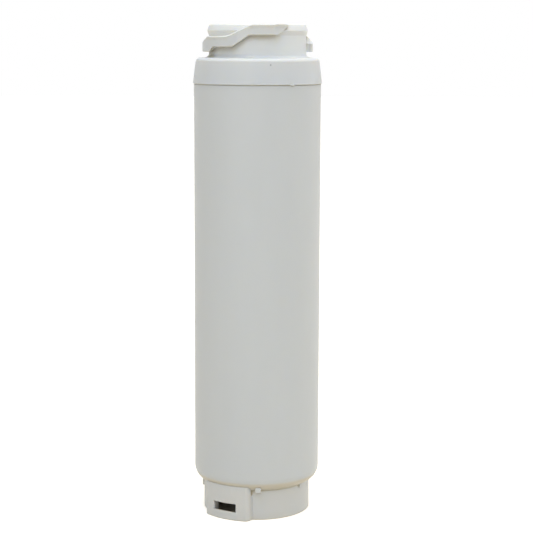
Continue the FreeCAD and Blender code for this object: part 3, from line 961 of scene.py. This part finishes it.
@dataclass
class TopClosure(ModelledPiece):
    """The welded top: conical rim, shoulder, neck with a bead, open well and two S-shaped cam lugs.

    Attributes:
        ramp_top: how far left of the axis a lug's upper side starts and ends its fall.
        ramp_under: the same for its lower side.
        stop_chamfer: the run and the fall of the chamfer over a lug's stop.
        flash_size: the weld flash's depth, length and height.
    """

    name: ClassVar[str] = "closure_moulding"
    node: ClassVar[Node] = Node.CLOSURE
    slot: ClassVar[Slot] = Slot.CLOSURE

    rim_radius: float = 34.8
    rim_round: float = 0.5
    cone_taper: float = 1.8
    shoulder_height: float = 14.2
    shoulder_fall: float = 0.4
    shoulder_round: float = 2.2
    plate: float = 3.0
    groove_outer: float = 32.75
    groove_inner: float = 31.25
    groove_depth: float = 4.9
    leg_thickness: float = 2.2
    leg_reach: float = 9.3
    neck_radius: float = 26.1
    neck_wall: float = 2.9
    neck_root_round: float = 2.0
    bead_height: float = 0.85
    bead_drop: float = 3.3
    bead_run: float = 2.6
    bead_round: float = 0.3
    mouth_taper: float = 0.25
    mouth_round: float = 0.5
    mouth_flare_round: float = 0.125
    stem_hole: float = 15.65
    lug_radius: float = 29.6
    lug_thickness: float = 5.7
    lug_drop: float = 6.2
    lug_end: float = 15.7
    lead_start: float = 11.0
    lead_rise: float = 4.3
    lead_round: float = 8.0
    taper_azimuth: float = 40.0
    taper_reach: float = 27.2
    ramp_top: tuple[float, float] = (3.0, 16.0)
    ramp_top_round: float = 8.0
    ramp_under: tuple[float, float] = (4.2, 13.2)
    ramp_under_round: float = 3.0
    stop_start: float = 25.2
    stop_depth: float = 2.6
    stop_slope: float = 1.5
    stop_round: float = 1.6
    stop_chamfer: tuple[float, float] = (3.1, 3.3)
    back_bevel_drop: float = 0.6
    gusset_run: float = 3.9
    gusset_front: float = 14.7
    gusset_lap: float = 0.4
    lug_back: float = 1.0
    lug_edge: float = 0.65
    flash_azimuth: float = 32.0
    flash_size: tuple[float, float, float] = (1.2, 2.8, 1.0)
    flash_inset: float = 0.3
    flash_divisions: int = 3
    overrun: float = 1.0

    @property
    def weld(self) -> float:
        """The level of the welded seam."""
        return levels(self.node)[0]

    @property
    def top(self) -> float:
        """The level of the neck's mouth."""
        return levels(self.node)[1]

    def blank(self) -> BMesh:
        """Turn the closure with its neck still solid.

        Returns:
            The closure's body.
        """
        plate_top = self.weld + self.shoulder_height
        plate_under = plate_top - self.plate
        bead = self.top - self.bead_drop
        leg_inner = self.groove_inner - self.leg_thickness
        cone_top = self.rim_radius - self.cone_taper
        return turned(
            [
                Corner(0, plate_under),
                Corner(leg_inner, plate_under),
                Corner(leg_inner, plate_under - self.leg_reach),
                Corner(self.groove_inner, plate_under - self.leg_reach),
                Corner(self.groove_inner, self.weld + self.groove_depth),
                Corner(self.groove_outer, self.weld + self.groove_depth),
                Corner(self.groove_outer, self.weld),
                Corner(self.rim_radius, self.weld, self.rim_round),
                Corner(cone_top, plate_top - self.shoulder_fall, self.shoulder_round),
                Corner(self.neck_radius, plate_top, self.neck_root_round),
                Corner(self.neck_radius, bead - self.bead_run, self.bead_round),
                Corner(self.neck_radius + self.bead_height, bead, self.bead_round),
                Corner(self.neck_radius - self.mouth_taper, self.top, self.mouth_round),
                Corner(0, self.top),
            ],
            closed=False,
        )

    def well(self) -> BMesh:
        """Turn the neck's well and the stem's hole.

        Returns:
            What they take away.
        """
        plate_top = self.weld + self.shoulder_height
        bore = self.neck_radius - self.neck_wall
        over = self.top + self.overrun
        return turned(
            [
                Corner(0, plate_top - self.plate - self.overrun),
                Corner(self.stem_hole, plate_top - self.plate - self.overrun),
                Corner(self.stem_hole, plate_top),
                Corner(bore, plate_top),
                Corner(bore, self.top, self.mouth_round),
                Corner(bore + self.overrun, self.top, self.mouth_flare_round),
                Corner(bore + self.overrun, over),
                Corner(0, over),
            ],
            closed=False,
        )

    def lug_outline(self) -> list[Vector]:
        """Draw the S-shaped lug as seen from the front.

        Returns:
            The outline's points, from its top right end leftwards.
        """
        high_under = self.top - self.lug_thickness
        low_top = self.top - self.lug_drop
        low_under = low_top - self.lug_thickness
        chamfer_run, chamfer_fall = self.stop_chamfer
        outside = self.lug_radius + self.overrun
        outside_top = low_top - chamfer_fall / chamfer_run * (chamfer_run + self.overrun)
        return rounded(
            [
                Corner(self.lug_end, self.top),
                Corner(-self.ramp_top[0], self.top, self.ramp_top_round),
                Corner(-self.ramp_top[1], low_top, self.ramp_top_round),
                Corner(chamfer_run - self.lug_radius, low_top),
                Corner(-outside, outside_top),
                Corner(-outside, low_under - self.stop_depth),
                Corner(-self.stop_start, low_under - self.stop_depth),
                Corner(self.stop_slope - self.stop_start, low_under, self.stop_round),
                Corner(-self.ramp_under[1], low_under, self.ramp_under_round),
                Corner(-self.ramp_under[0], high_under, self.ramp_under_round),
                Corner(self.lead_start, high_under, self.lead_round),
                Corner(self.lug_end, high_under + self.lead_rise),
            ]
        )

    def outer_edges(self, solid: BMesh, creased: bool) -> list[BMEdge]:
        """Find edges on a lug's turned outside.

        Args:
            solid: the lug.
            creased: whether the edges are the outside's corners, or else its facets' borders.

        Returns:
            The edges.
        """
        facet_sag = self.lug_radius * (1 - math.cos(math.pi / TURNING_STEPS))
        outside = self.lug_radius - facet_sag - MERGE_MM
        return [
            edge
            for edge in solid.edges
            if all(vert.co.xy.length > outside for vert in edge.verts)
            and (edge.calc_face_angle() > CREASE_ANGLE) == creased
        ]

    def lug(self) -> BMesh:
        """Model a cam lug: pushed out to the front, bevelled at its stop, turned outside and softened.

        A flat at its tip then leads it in.

        Returns:
            The lug, with its root inside the neck.
        """
        solid = placed(prism(self.lug_outline(), -self.lug_back, self.lug_radius + self.overrun), STANDING)
        bevel_foot = self.top - self.lug_drop - self.stop_chamfer[1] - self.back_bevel_drop
        solid = trimmed(solid, (0, self.lug_back, bevel_foot), (0, 1, 1))
        solid = combined(solid, Cut.KEEP, rod(self.lug_radius, self.weld, self.top + self.overrun))
        short = {edge for edge in self.outer_edges(solid, True) if edge.calc_length() < self.lug_edge}
        slivers = [
            edge
            for edge in self.outer_edges(solid, False)
            if any(beside in short for vert in edge.verts for beside in vert.link_edges)
        ]
        bmesh.ops.dissolve_edges(solid, edges=slivers, use_verts=True)
        solid = bevelled(solid, self.outer_edges(solid, True), self.lug_edge)
        way = facing(self.taper_azimuth).to_3x3() @ Vector((1, 0, 0))
        return trimmed(solid, way * self.taper_reach, way)

    def gusset(self) -> BMesh:
        """Model the web in the corner between a lug's stop and the neck.

        Returns:
            The web.
        """
        high = self.top - self.lug_drop - self.lug_thickness
        outline = [
            Vector((-self.stop_start - self.gusset_lap, high - self.stop_depth)),
            Vector((-self.stop_start, high - self.stop_depth)),
            Vector((self.gusset_run - self.stop_start, high)),
            Vector((self.gusset_run - self.stop_start, high + self.overrun)),
            Vector((-self.stop_start - self.gusset_lap, high + self.overrun)),
        ]
        return placed(prism(outline, self.lug_back, self.gusset_front), STANDING)

    def flash(self) -> BMesh:
        """Model the bit of weld flash that laps over the seam: a ball of 1 mm, stretched to its size.

        Returns:
            The flash.
        """
        solid = bmesh.new()
        bmesh.ops.create_icosphere(solid, subdivisions=self.flash_divisions, radius=BALL_RADIUS)
        bmesh.ops.scale(solid, vec=self.flash_size, verts=solid.verts)
        outward = Matrix.Translation((self.rim_radius - self.flash_inset, 0, self.weld))
        return placed(solid, facing(self.flash_azimuth) @ outward)

    def solid(self) -> BMesh:
        """Model the piece.

        Returns:
            The closure.
        """
        lug, gusset = self.lug(), self.gusset()
        webs = [half_turned(gusset), gusset]
        body = combined(self.blank(), Cut.JOIN, half_turned(lug), lug, *webs, self.flash())
        return combined(body, Cut.TAKE, self.well())


@dataclass
class BaseCap(ModelledPiece):
    """The ring under the shell: skirt, plate, two slotted pads, a key rib, a recess and two notches.

    Attributes:
        notches: each notch's azimuth and width.
    """

    name: ClassVar[str] = "base_moulding"
    node: ClassVar[Node] = Node.BASE
    slot: ClassVar[Slot] = Slot.BASE

    height: float = 16.0
    plate: float = 2.4
    skirt_radius: float = 29.1
    wall: float = 2.4
    spigot_hole: float = 6.15
    rim_round: float = 0.6
    seat_radius: float = 34.23
    seat_round: float = 8.03
    seat_end: float = 25.7
    seat_depth: float = 0.03
    pad_azimuth: float = -32.3
    pad_radius: float = 33.0
    pad_width: float = 27.8
    pad_height: float = 18.4
    pad_round: float = 3.0
    pad_root: float = 19.75
    slot_width: float = 13.8
    slot_height: float = 4.6
    slot_floor: float = 4.7
    slot_wall: float = 5.4
    slot_lip: float = 1.2
    slot_mouth: float = 1.3
    core_width: float = 17.0
    core_height: float = 11.0
    rib_azimuth: float = -97.0
    rib_width: float = 3.0
    rib_projection: float = 1.2
    rib_floor: float = 10.4
    recess_azimuth: float = 27.5
    recess_sweep: float = 54.8
    recess_depth: float = 0.7
    notches: tuple[tuple[float, float], ...] = ((-0.6, 5.0), (52.7, 2.2))
    notch_depth: float = 2.1
    land_lean: float = 0.45
    moulded_round: float = 0.4
    overrun: float = 1.0

    def blank(self) -> BMesh:
        """Turn the skirt and its plate, still without the shell's seat.

        Returns:
            The base's body.
        """
        bore = self.skirt_radius - self.wall
        return turned(
            [
                Corner(bore, 0, self.moulded_round),
                Corner(self.skirt_radius, 0, self.rim_round),
                Corner(self.skirt_radius, self.pad_height),
                Corner(self.spigot_hole, self.pad_height),
                Corner(self.spigot_hole, self.height - self.plate),
                Corner(bore, self.height - self.plate, self.moulded_round),
            ]
        )

    def pad(self) -> BMesh:
        """Model a pad: its plan has a turned face between two rounded sides.

        Returns:
            The pad, with a rounded lower edge.
        """
        side = self.pad_width / 2
        middle = side - self.pad_round
        centre = Vector((math.sqrt((self.pad_radius - self.pad_round) ** 2 - middle**2), middle))
        spread = math.atan2(centre.y, centre.x)
        outline = [
            Vector((self.pad_root, -side)),
            *arc(Vector((centre.x, -centre.y)), self.pad_round, -math.pi / 2, math.pi / 2 - spread),
            *arc(Vector((0, 0)), self.pad_radius, -spread, spread * 2)[1:-1],
            *arc(centre, self.pad_round, spread, math.pi / 2 - spread),
            Vector((self.pad_root, side)),
        ]
        solid = prism(outline, 0, self.pad_height + self.overrun)
        lower_edges = [
            edge
            for edge in solid.edges
            if all(abs(vert.co.z) < MERGE_MM for vert in edge.verts)
            and any(vert.co.x > self.pad_root + MERGE_MM for vert in edge.verts)
        ]
        return placed(bevelled(solid, lower_edges, self.rim_round), facing(self.pad_azimuth))

    def rib(self) -> BMesh:
        """Model the key rib.

        Returns:
            The rib.
        """
        outline = rectangle(
            Corner(self.skirt_radius - self.wall / 2, -self.rib_width / 2),
            Corner(self.skirt_radius + self.rib_projection, self.rib_width / 2, self.moulded_round),
        )
        return placed(prism(outline, self.rib_floor, self.pad_height), facing(self.rib_azimuth))

    def seat(self) -> BMesh:
        """Turn the shell's seat.

        Returns:
            What the shell's rounded end takes away.
        """
        over = self.height + self.seat_round + self.overrun
        low = self.height - self.seat_depth
        return turned(
            [
                Corner(0, self.height),
                Corner(self.seat_end, self.height),
                Corner(self.seat_end, low),
                Corner(self.seat_radius, low, self.seat_round),
                Corner(self.seat_radius, over),
                Corner(0, over),
            ],
            closed=False,
        )

    def bore(self) -> BMesh:
        """What the knob's socket takes away from the pads."""
        radius, roof = self.skirt_radius - self.wall, self.height - self.plate
        return rod(radius, -self.overrun, roof, self.moulded_round)

    def core(self) -> BMesh:
        """Model the pocket behind a pad's slot.

        Returns:
            What the pocket takes away.
        """
        outline = rectangle(
            Corner(self.pad_root, -self.core_width / 2),
            Corner(self.pad_radius - self.slot_wall, self.core_width / 2, self.moulded_round),
        )
        return placed(prism(outline, -self.overrun, self.core_height), facing(self.pad_azimuth))

    def slot_cuts(self) -> list[BMesh]:
        """Model the slot through a pad, which flares at its mouth, and the hollow behind its thin lower lip.

        Returns:
            What they take away from both pads.
        """
        side, back = self.slot_width / 2, self.pad_radius - self.slot_wall - self.overrun
        mouth, front = self.pad_radius - self.slot_mouth, self.pad_radius + self.overrun
        flared = side + front - mouth
        way = [(back, -side), (mouth, -side), (front, -flared), (front, flared), (mouth, side), (back, side)]
        roof = self.slot_floor + self.slot_height
        slot = prism([Vector(spot) for spot in way], self.slot_floor, roof)
        behind = rectangle(Corner(back, -side), Corner(self.pad_radius - self.slot_lip, side))
        hollow = prism(behind, -self.overrun, roof - self.overrun)
        cuts = [placed(cut, facing(self.pad_azimuth)) for cut in (slot, hollow)]
        return [*(half_turned(cut) for cut in cuts), *cuts]

    def land(self, radius: float, low: float) -> BMesh:
        """Turn what lies over an upper edge that leans in to meet the shell.

        Args:
            radius: the edge's radius.
            low: the edge's level.

        Returns:
            The ring over the edge.
        """
        high = self.pad_height + 2 * self.overrun
        inside = radius - self.land_lean * (high - low)
        outside = self.pad_radius + self.overrun
        corners = [(inside, high), (radius, low), (outside, low), (outside, high)]
        return turned([Corner(*spot) for spot in corners])

    def edge_cut(self, plan: Sequence[Vector], azimuth: float, depth: float) -> BMesh:
        """Model a lowered run of the skirt's upper edge.

        Args:
            plan: the run's outline, with the X axis through its middle.
            azimuth: where it lies.
            depth: how far it goes down.

        Returns:
            What the run takes away.
        """
        run = placed(prism(plan, 0, self.height + self.pad_height), facing(azimuth))
        return combined(self.land(self.skirt_radius, self.height - depth), Cut.KEEP, run)

    def recess(self) -> BMesh:
        """Model the long recess in the skirt's upper edge.

        Returns:
            What the recess takes away.
        """
        middle, sweep = Vector((0, 0)), math.radians(self.recess_sweep)
        plan = [
            *arc(middle, self.skirt_radius + self.wall, -sweep / 2, sweep),
            *arc(middle, self.skirt_radius - self.wall, sweep / 2, -sweep),
        ]
        return self.edge_cut(plan, self.recess_azimuth, self.recess_depth)

    def notch(self, azimuth: float, width: float) -> BMesh:
        """Model a notch in the skirt's upper edge.

        Args:
            azimuth: where it lies.
            width: how wide it is.

        Returns:
            What the notch takes away.
        """
        plan = rectangle(
            Corner(self.skirt_radius - self.wall, -width / 2),
            Corner(self.skirt_radius + self.wall, width / 2),
        )
        return self.edge_cut(plan, azimuth, self.notch_depth)

    def solid(self) -> BMesh:
        """Model the piece.

        Returns:
            The base.
        """
        pad, core = self.pad(), self.core()
        body = combined(self.blank(), Cut.JOIN, half_turned(pad), pad, self.rib())
        edges = [self.seat(), self.land(self.pad_radius, self.pad_height), self.recess()]
        edges += [self.notch(*place) for place in self.notches]
        hollows = [self.bore(), half_turned(core), core, *self.slot_cuts()]
        return combined(body, Cut.TAKE, *edges, *hollows)


@dataclass
class PortStem(ModelledPiece):
    """The stepped spigot in the neck's well, with its outlet bore, inlet holes and seal grooves."""

    name: ClassVar[str] = "stem_moulding"
    node: ClassVar[Node] = Node.STEM
    slot: ClassVar[Slot] = Slot.STEM

    flange_radius: float = 18.5
    flange: float = 2.5
    plate: float = 3.0
    step_radius: float = 15.5
    step_height: float = 7.7
    step_round: float = 0.8
    nozzle_radius: float = 7.2
    nozzle_height: float = 5.8
    pilot_radius: float = 6.5
    pilot_round: float = 0.5
    bore: float = 3.5
    socket_radius: float = 6.6
    socket_wall: float = 1.6
    socket_length: float = 8.0
    socket_depth: float = 11.0
    groove_depth: float = 2.1
    groove_width: float = 3.4
    groove_round: float = 0.25
    inlet_seal_height: float = 4.1
    outlet_seal_height: float = 2.9
    inlet_radius: float = 1.75
    inlet_circle: float = 10.4
    inlet_count: int = 4
    edge: float = 0.2

    @property
    def plate_top(self) -> float:
        """The level of the closure's plate that the stem stands through."""
        return levels(self.node)[0] + self.socket_length + self.flange + self.plate

    @property
    def step_top(self) -> float:
        """The level of the stem's wide step."""
        return self.plate_top + self.step_height

    def groove(self, outer: float, level: float) -> list[Corner]:
        """Draw a seal's groove in an outline that runs upwards.

        Args:
            outer: the radius that the groove is cut in.
            level: the groove's middle.

        Returns:
            The groove's corners.
        """
        low, high = level - self.groove_width / 2, level + self.groove_width / 2
        floor = outer - self.groove_depth
        return [
            Corner(outer, low, self.edge),
            Corner(floor, low, self.groove_round),
            Corner(floor, high, self.groove_round),
            Corner(outer, high, self.edge),
        ]

    def inlet(self, number: int) -> BMesh:
        """Model what one inlet hole takes away.

        Args:
            number: which of the holes it is.

        Returns:
            A round rod through the step.
        """
        angle = math.tau * number / self.inlet_count
        centre = Vector((math.cos(angle), math.sin(angle))) * self.inlet_circle
        outline = arc(centre, self.inlet_radius, 0, math.tau)[:-1]
        return prism(outline, levels(self.node)[0], self.step_top + self.plate)

    def solid(self) -> BMesh:
        """Model the piece.

        Returns:
            The stem.
        """
        socket_end, pilot_top = levels(self.node)
        flange_under = socket_end + self.socket_length
        plate_under = flange_under + self.flange
        nozzle_top = self.step_top + self.nozzle_height
        socket_outer = self.socket_radius + self.socket_wall
        stem = turned(
            [
                Corner(self.socket_radius, socket_end, self.edge),
                Corner(socket_outer, socket_end, self.edge),
                Corner(socket_outer, flange_under, self.edge),
                Corner(self.flange_radius, flange_under, self.edge),
                Corner(self.flange_radius, plate_under),
                Corner(self.step_radius, plate_under),
                *self.groove(self.step_radius, self.plate_top + self.inlet_seal_height),
                Corner(self.step_radius, self.step_top, self.step_round),
                Corner(self.nozzle_radius, self.step_top, self.edge),
                *self.groove(self.nozzle_radius, self.step_top + self.outlet_seal_height),
                Corner(self.nozzle_radius, nozzle_top, self.edge),
                Corner(self.pilot_radius, nozzle_top, self.edge),
                Corner(self.pilot_radius, pilot_top, self.pilot_round),
                Corner(self.bore, pilot_top, self.edge),
                Corner(self.bore, socket_end + self.socket_depth),
                Corner(self.socket_radius, socket_end + self.socket_depth),
            ]
        )
        return combined(stem, Cut.TAKE, *(self.inlet(number) for number in range(self.inlet_count)))


@dataclass
class Seal(ModelledPiece):
    """A moulded O-ring, with the fine flash line that its mould leaves around the outside."""

    slot: ClassVar[Slot] = Slot.SEAL

    floor_radius: float = 0.0
    section: float = 2.62
    seat: float = 0.02
    flash_width: float = 0.25
    flash_height: float = 0.06

    def solid(self) -> BMesh:
        """Model the piece.

        Returns:
            The ring.
        """
        half = self.section / 2
        level = sum(levels(self.node)) / 2
        centre = Vector((self.floor_radius + self.seat + half, level))
        gap = math.asin(self.flash_width / 2 / half)
        outline = arc(centre, half, gap, math.tau - gap * 2)
        outline.append(centre + Vector((half + self.flash_height, 0)))
        return turned([Corner(spot.x, spot.y) for spot in outline])


@dataclass
class InletSeal(Seal):
    """The large seal on the stem's step."""

    name: ClassVar[str] = "inlet_seal"
    node: ClassVar[Node] = Node.INLET_SEAL

    floor_radius: float = 13.4


@dataclass
class OutletSeal(Seal):
    """The small seal on the stem's nozzle."""

    name: ClassVar[str] = "outlet_seal"
    node: ClassVar[Node] = Node.OUTLET_SEAL

    floor_radius: float = 5.1


@dataclass
class FilterElement:
    """The sealed element inside the housing, whose CAD pieces keep their form and get their finishes."""

    finishes: Mapping[Node, Finish]

    def dress(self, nodes: Mapping[str, bpy.types.Object]) -> list[bpy.types.Object]:
        """Give each of the element's pieces its finish.

        Args:
            nodes: the frame's pieces by name.

        Returns:
            The dressed pieces.
        """
        made: dict[Finish, bpy.types.Material] = {}
        for node, finish in self.finishes.items():
            if finish not in made:
                made[finish] = finish.material()
            slots = nodes[node.value].data.materials
            slots.clear()
            slots.append(made[finish])
        return [nodes[node.value] for node in self.finishes]


@dataclass(frozen=True)
class Softbox:
    """A soft studio lamp that hangs round the cartridge and looks at its middle."""

    name: str
    azimuth: float
    elevation: float
    watts: float
    width: float = 500.0
    height: float = 500.0
    distance: float = 1400.0
    colour: str = WHITE

    def hang(self, aim: Vector) -> None:
        """Hang the lamp.

        Args:
            aim: the point that it looks at, in metres.
        """
        data = bpy.data.lights.new(self.name, "AREA")
        data.shape = "RECTANGLE"
        data.size, data.size_y = self.width * MM, self.height * MM
        data.energy = self.watts
        data.color = linear(self.colour)[:3]
        lamp = bpy.data.objects.new(self.name, data)
        azimuth, elevation = math.radians(self.azimuth), math.radians(self.elevation)
        flat = math.cos(elevation)
        back = Vector((math.sin(azimuth) * flat, -math.cos(azimuth) * flat, math.sin(elevation)))
        lamp.location = aim + back * self.distance * MM
        lamp.rotation_euler = back.to_track_quat("Z", "Y").to_euler()
        bpy.context.scene.collection.objects.link(lamp)


@dataclass(frozen=True)
class Studio:
    """A white table and room with soft light, and the camera at the photograph's place.

    Attributes:
        floor_glow: the white that is added to the table where it is seen, near the cartridge and far off.
        glow_span: the distances between which that white goes from the one to the other.
        unlit_span: the distances between which that white sets in.
        room_light: the strength of the room's light at the left and at the right.
    """

    camera_distance: float = 825.6
    camera_height: float = 258.0
    camera_aside: float = 5.17
    camera_tilt: float = 8.5
    camera_roll: float = 0.2
    lens: float = 102.91
    sensor: float = 36.0
    floor_side: float = 12000.0
    floor_colour: str = "#ddd7c9"
    floor_glow: tuple[float, float] = (0.6, 1.0)
    glow_span: tuple[float, float] = (120.0, 1500.0)
    unlit_span: tuple[float, float] = (27.0, 30.0)
    room_colour: str = WHITE
    room_light: tuple[float, float] = (0.27, 0.84)
    lamps: tuple[Softbox, ...] = (
        Softbox("key_softbox", azimuth=-30, elevation=10, watts=2.2),
        Softbox("side_softbox", azimuth=105, elevation=8, watts=1.7, width=1000),
        Softbox("front_softbox", azimuth=-8, elevation=48, watts=4.6, width=700, colour="#e6f0ff"),
        Softbox("top_softbox", azimuth=0, elevation=86, watts=9.2, width=900, height=900, distance=1200),
    )

    def place_camera(self) -> None:
        """Set the camera where the photograph was taken from."""
        data = bpy.data.cameras.new("photo_camera")
        data.lens = self.lens
        data.sensor_width = self.sensor
        camera = bpy.data.objects.new("photo_camera", data)
        camera.location = Vector((self.camera_aside, -self.camera_distance, self.camera_height)) * MM
        tilt = Matrix.Rotation(math.pi / 2 - math.radians(self.camera_tilt), 3, "X")
        roll = Matrix.Rotation(math.radians(self.camera_roll), 3, "Z")
        camera.rotation_euler = (tilt @ roll).to_euler()
        bpy.context.scene.collection.objects.link(camera)
        bpy.context.scene.camera = camera

    def seen_directly(self, tree: bpy.types.NodeTree) -> bpy.types.NodeSocket:
        """Tell the rays that come from the camera, a reflection or a clear piece from the others.

        Args:
            tree: the nodes of the floor or the room.

        Returns:
            1 for such a ray and 0 for others.
        """
        rays = add_node(tree, "ShaderNodeLightPath").outputs
        seen = rays["Is Camera Ray"]
        for ray in ("Is Glossy Ray", "Is Transmission Ray"):
            seen = add_node(
                tree, "ShaderNodeMath", {"operation": "MAXIMUM"}, {0: seen, 1: rays[ray]}
            ).outputs[0]
        return seen

    def lay_floor(self) -> None:
        """Lay the pale table, which keeps the shadow and goes to white further off and in reflections.

        None of that white is added under the cartridge, where it would shine out through the slots.
        """
        solid = bmesh.new()
        bmesh.ops.create_grid(solid, x_segments=1, y_segments=1, size=self.floor_side * MM / 2)
        floor = as_object("table", solid)
        made = bpy.data.materials.new("white_table")
        made.use_nodes = True
        tree = made.node_tree
        tree.nodes.clear()
        strength = self.seen_directly(tree)
        place = add_node(tree, "ShaderNodeTexCoord").outputs["Object"]
        away = add_node(tree, "ShaderNodeVectorMath", {"operation": "LENGTH"}, {0: place}).outputs["Value"]
        for (start, end), (low, high) in ((self.glow_span, self.floor_glow), (self.unlit_span, (0.0, 1.0))):
            share = add_node(
                tree,
                "ShaderNodeMapRange",
                {"interpolation_type": "SMOOTHSTEP"},
                {"Value": away, "From Min": start * MM, "From Max": end * MM, "To Min": low, "To Max": high},
            ).outputs[0]
            strength = add_node(
                tree, "ShaderNodeMath", {"operation": "MULTIPLY"}, {0: strength, 1: share}
            ).outputs[0]
        glow = add_node(tree, "ShaderNodeEmission", sockets={"Strength": strength}).outputs[0]
        paint = add_node(
            tree, "ShaderNodeBsdfDiffuse", sockets={"Color": linear(self.floor_colour)}
        ).outputs[0]
        both = add_node(tree, "ShaderNodeAddShader", sockets={0: paint, 1: glow}).outputs[0]
        add_node(tree, "ShaderNodeOutputMaterial", sockets={"Surface": both})
        floor.data.materials.append(made)
        floor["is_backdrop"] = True

    def light_room(self, aim: Vector) -> None:
        """Fill the room with soft light and hang the lamps.

        The light is stronger from the right, and the room is white where it is seen.

        Args:
            aim: the point that the lamps look at, in metres.
        """
        world = bpy.data.worlds.new("white_room")
        bpy.context.scene.world = world
        world.use_nodes = True
        tree = world.node_tree
        tree.nodes.clear()
        seen = self.seen_directly(tree)
        way = add_node(tree, "ShaderNodeTexCoord").outputs["Generated"]
        aside = add_node(tree, "ShaderNodeSeparateXYZ", sockets={0: way}).outputs["X"]
        left, right = self.room_light
        strength = add_node(
            tree,
            "ShaderNodeMapRange",
            sockets={"Value": aside, "From Min": -1.0, "From Max": 1.0, "To Min": left, "To Max": right},
        ).outputs[0]
        light = add_node(
            tree, "ShaderNodeBackground", sockets={"Color": linear(self.room_colour), "Strength": strength}
        ).outputs[0]
        white = add_node(tree, "ShaderNodeBackground", sockets={"Color": linear(WHITE)}).outputs[0]
        room = add_node(tree, "ShaderNodeMixShader", sockets={0: seen, 1: light, 2: white}).outputs[0]
        add_node(tree, "ShaderNodeOutputWorld", sockets={"Surface": room})
        for lamp in self.lamps:
            lamp.hang(aim)

    def set_up(self, aim: Vector) -> None:
        """Lay the floor, light the room and place the camera.

        Args:
            aim: the point that the lamps look at, in metres.
        """
        bpy.context.scene.view_settings.view_transform = "Standard"
        self.lay_floor()
        self.light_room(aim)
        self.place_camera()


def main() -> None:
    """Model and dress the cartridge, and set up the studio."""
    logging.basicConfig(level=logging.INFO, format="%(name)s %(message)s")
    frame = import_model()
    cad_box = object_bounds()
    speck = Speck(place=(7.0, -32.69, 244.6), width=0.9, core=0.45, colour="#7b8384")
    # Painted shade: the dark tone painted inside the pockets behind the base's slots.
    pocket = PaintedPocketShade(
        middle=(23.7, 0, 5.0), size=(8.0, 17.2, 12.2), azimuth=BaseCap.pad_azimuth, colour="#0c0804"
    )
    modelled: list[ModelledPiece] = [
        # leaning: painted shade on the shell's corner where it turns under.
        HousingShell(MouldedPlastic("satin_polypropylene_shell", "#c5c8c9", painted_lean_shade="#c8c1b1")),
        TopClosure(
            MouldedPlastic(
                "satin_polypropylene_closure",
                "#c9cccd",
                cloud="#cdd0d1",
                # crevice: a tone lighter than the plastic, painted light in the closure's crevices such as
                # the neck's root.
                painted_crevice_shading="#f2f3f3",
                crevice_reach=4.0,
                crevice_open=0.8,
                # shelter: painted shade under the lugs.
                painted_shelter_shade="#b0ab9d",
                # thin: painted light on the neck's thin wall.
                thin="#d8dbdc",
                thin_radius=(27.6, 27.2),
                glow=0.8,
                glow_depth=5.0,
                speck=speck,
            )
        ),
        BaseCap(
            MouldedPlastic(
                "satin_polypropylene_base",
                "#cecdc9",
                # leaning and crevice: painted shade on the lands that lean in to meet the shell, and in the
                # base's crevices.
                painted_lean_shade="#cdc7b6",
                lean_start=0.2,
                lean_full=0.38,
                painted_crevice_shading="#cdc4ac",
                crevice_reach=6.0,
                crevice_open=0.7,
                pocket=pocket,
            )
        ),
        PortStem(MouldedPlastic("smooth_polypropylene_stem", "#cecfcd", roughness=0.35)),
        InletSeal(SealRubber("greased_epdm_inlet")),
        OutletSeal(SealRubber("greased_epdm_outlet")),
    ]
    cap_plastic = MouldedPlastic("moulded_polypropylene_cap", "#c8c8c5")
    element = FilterElement(
        {
            Node.UPPER_CAP: cap_plastic,
            Node.LOWER_CAP: cap_plastic,
            Node.CAP_SEAL: SealRubber("greased_epdm_cap"),
            Node.BLOCK: BoundCarbon("sintered_carbon", "#0c0c0d"),
            Node.WRAP: FeltedWrap("polypropylene_felt", "#dcdbd6"),
            Node.NET: MouldedPlastic("extruded_polypropylene_net", "#d4d4d2"),
        }
    )
    made = [piece.make() for piece in modelled] + element.dress(frame["nodes"])
    for piece in made:
        log.info("%s: %d faces, %s", piece.name, len(piece.data.polygons), piece.data.materials[0].name)
    Studio().set_up((cad_box[0] + cad_box[1]) / 2)


if __name__ == "__main__":
    main()
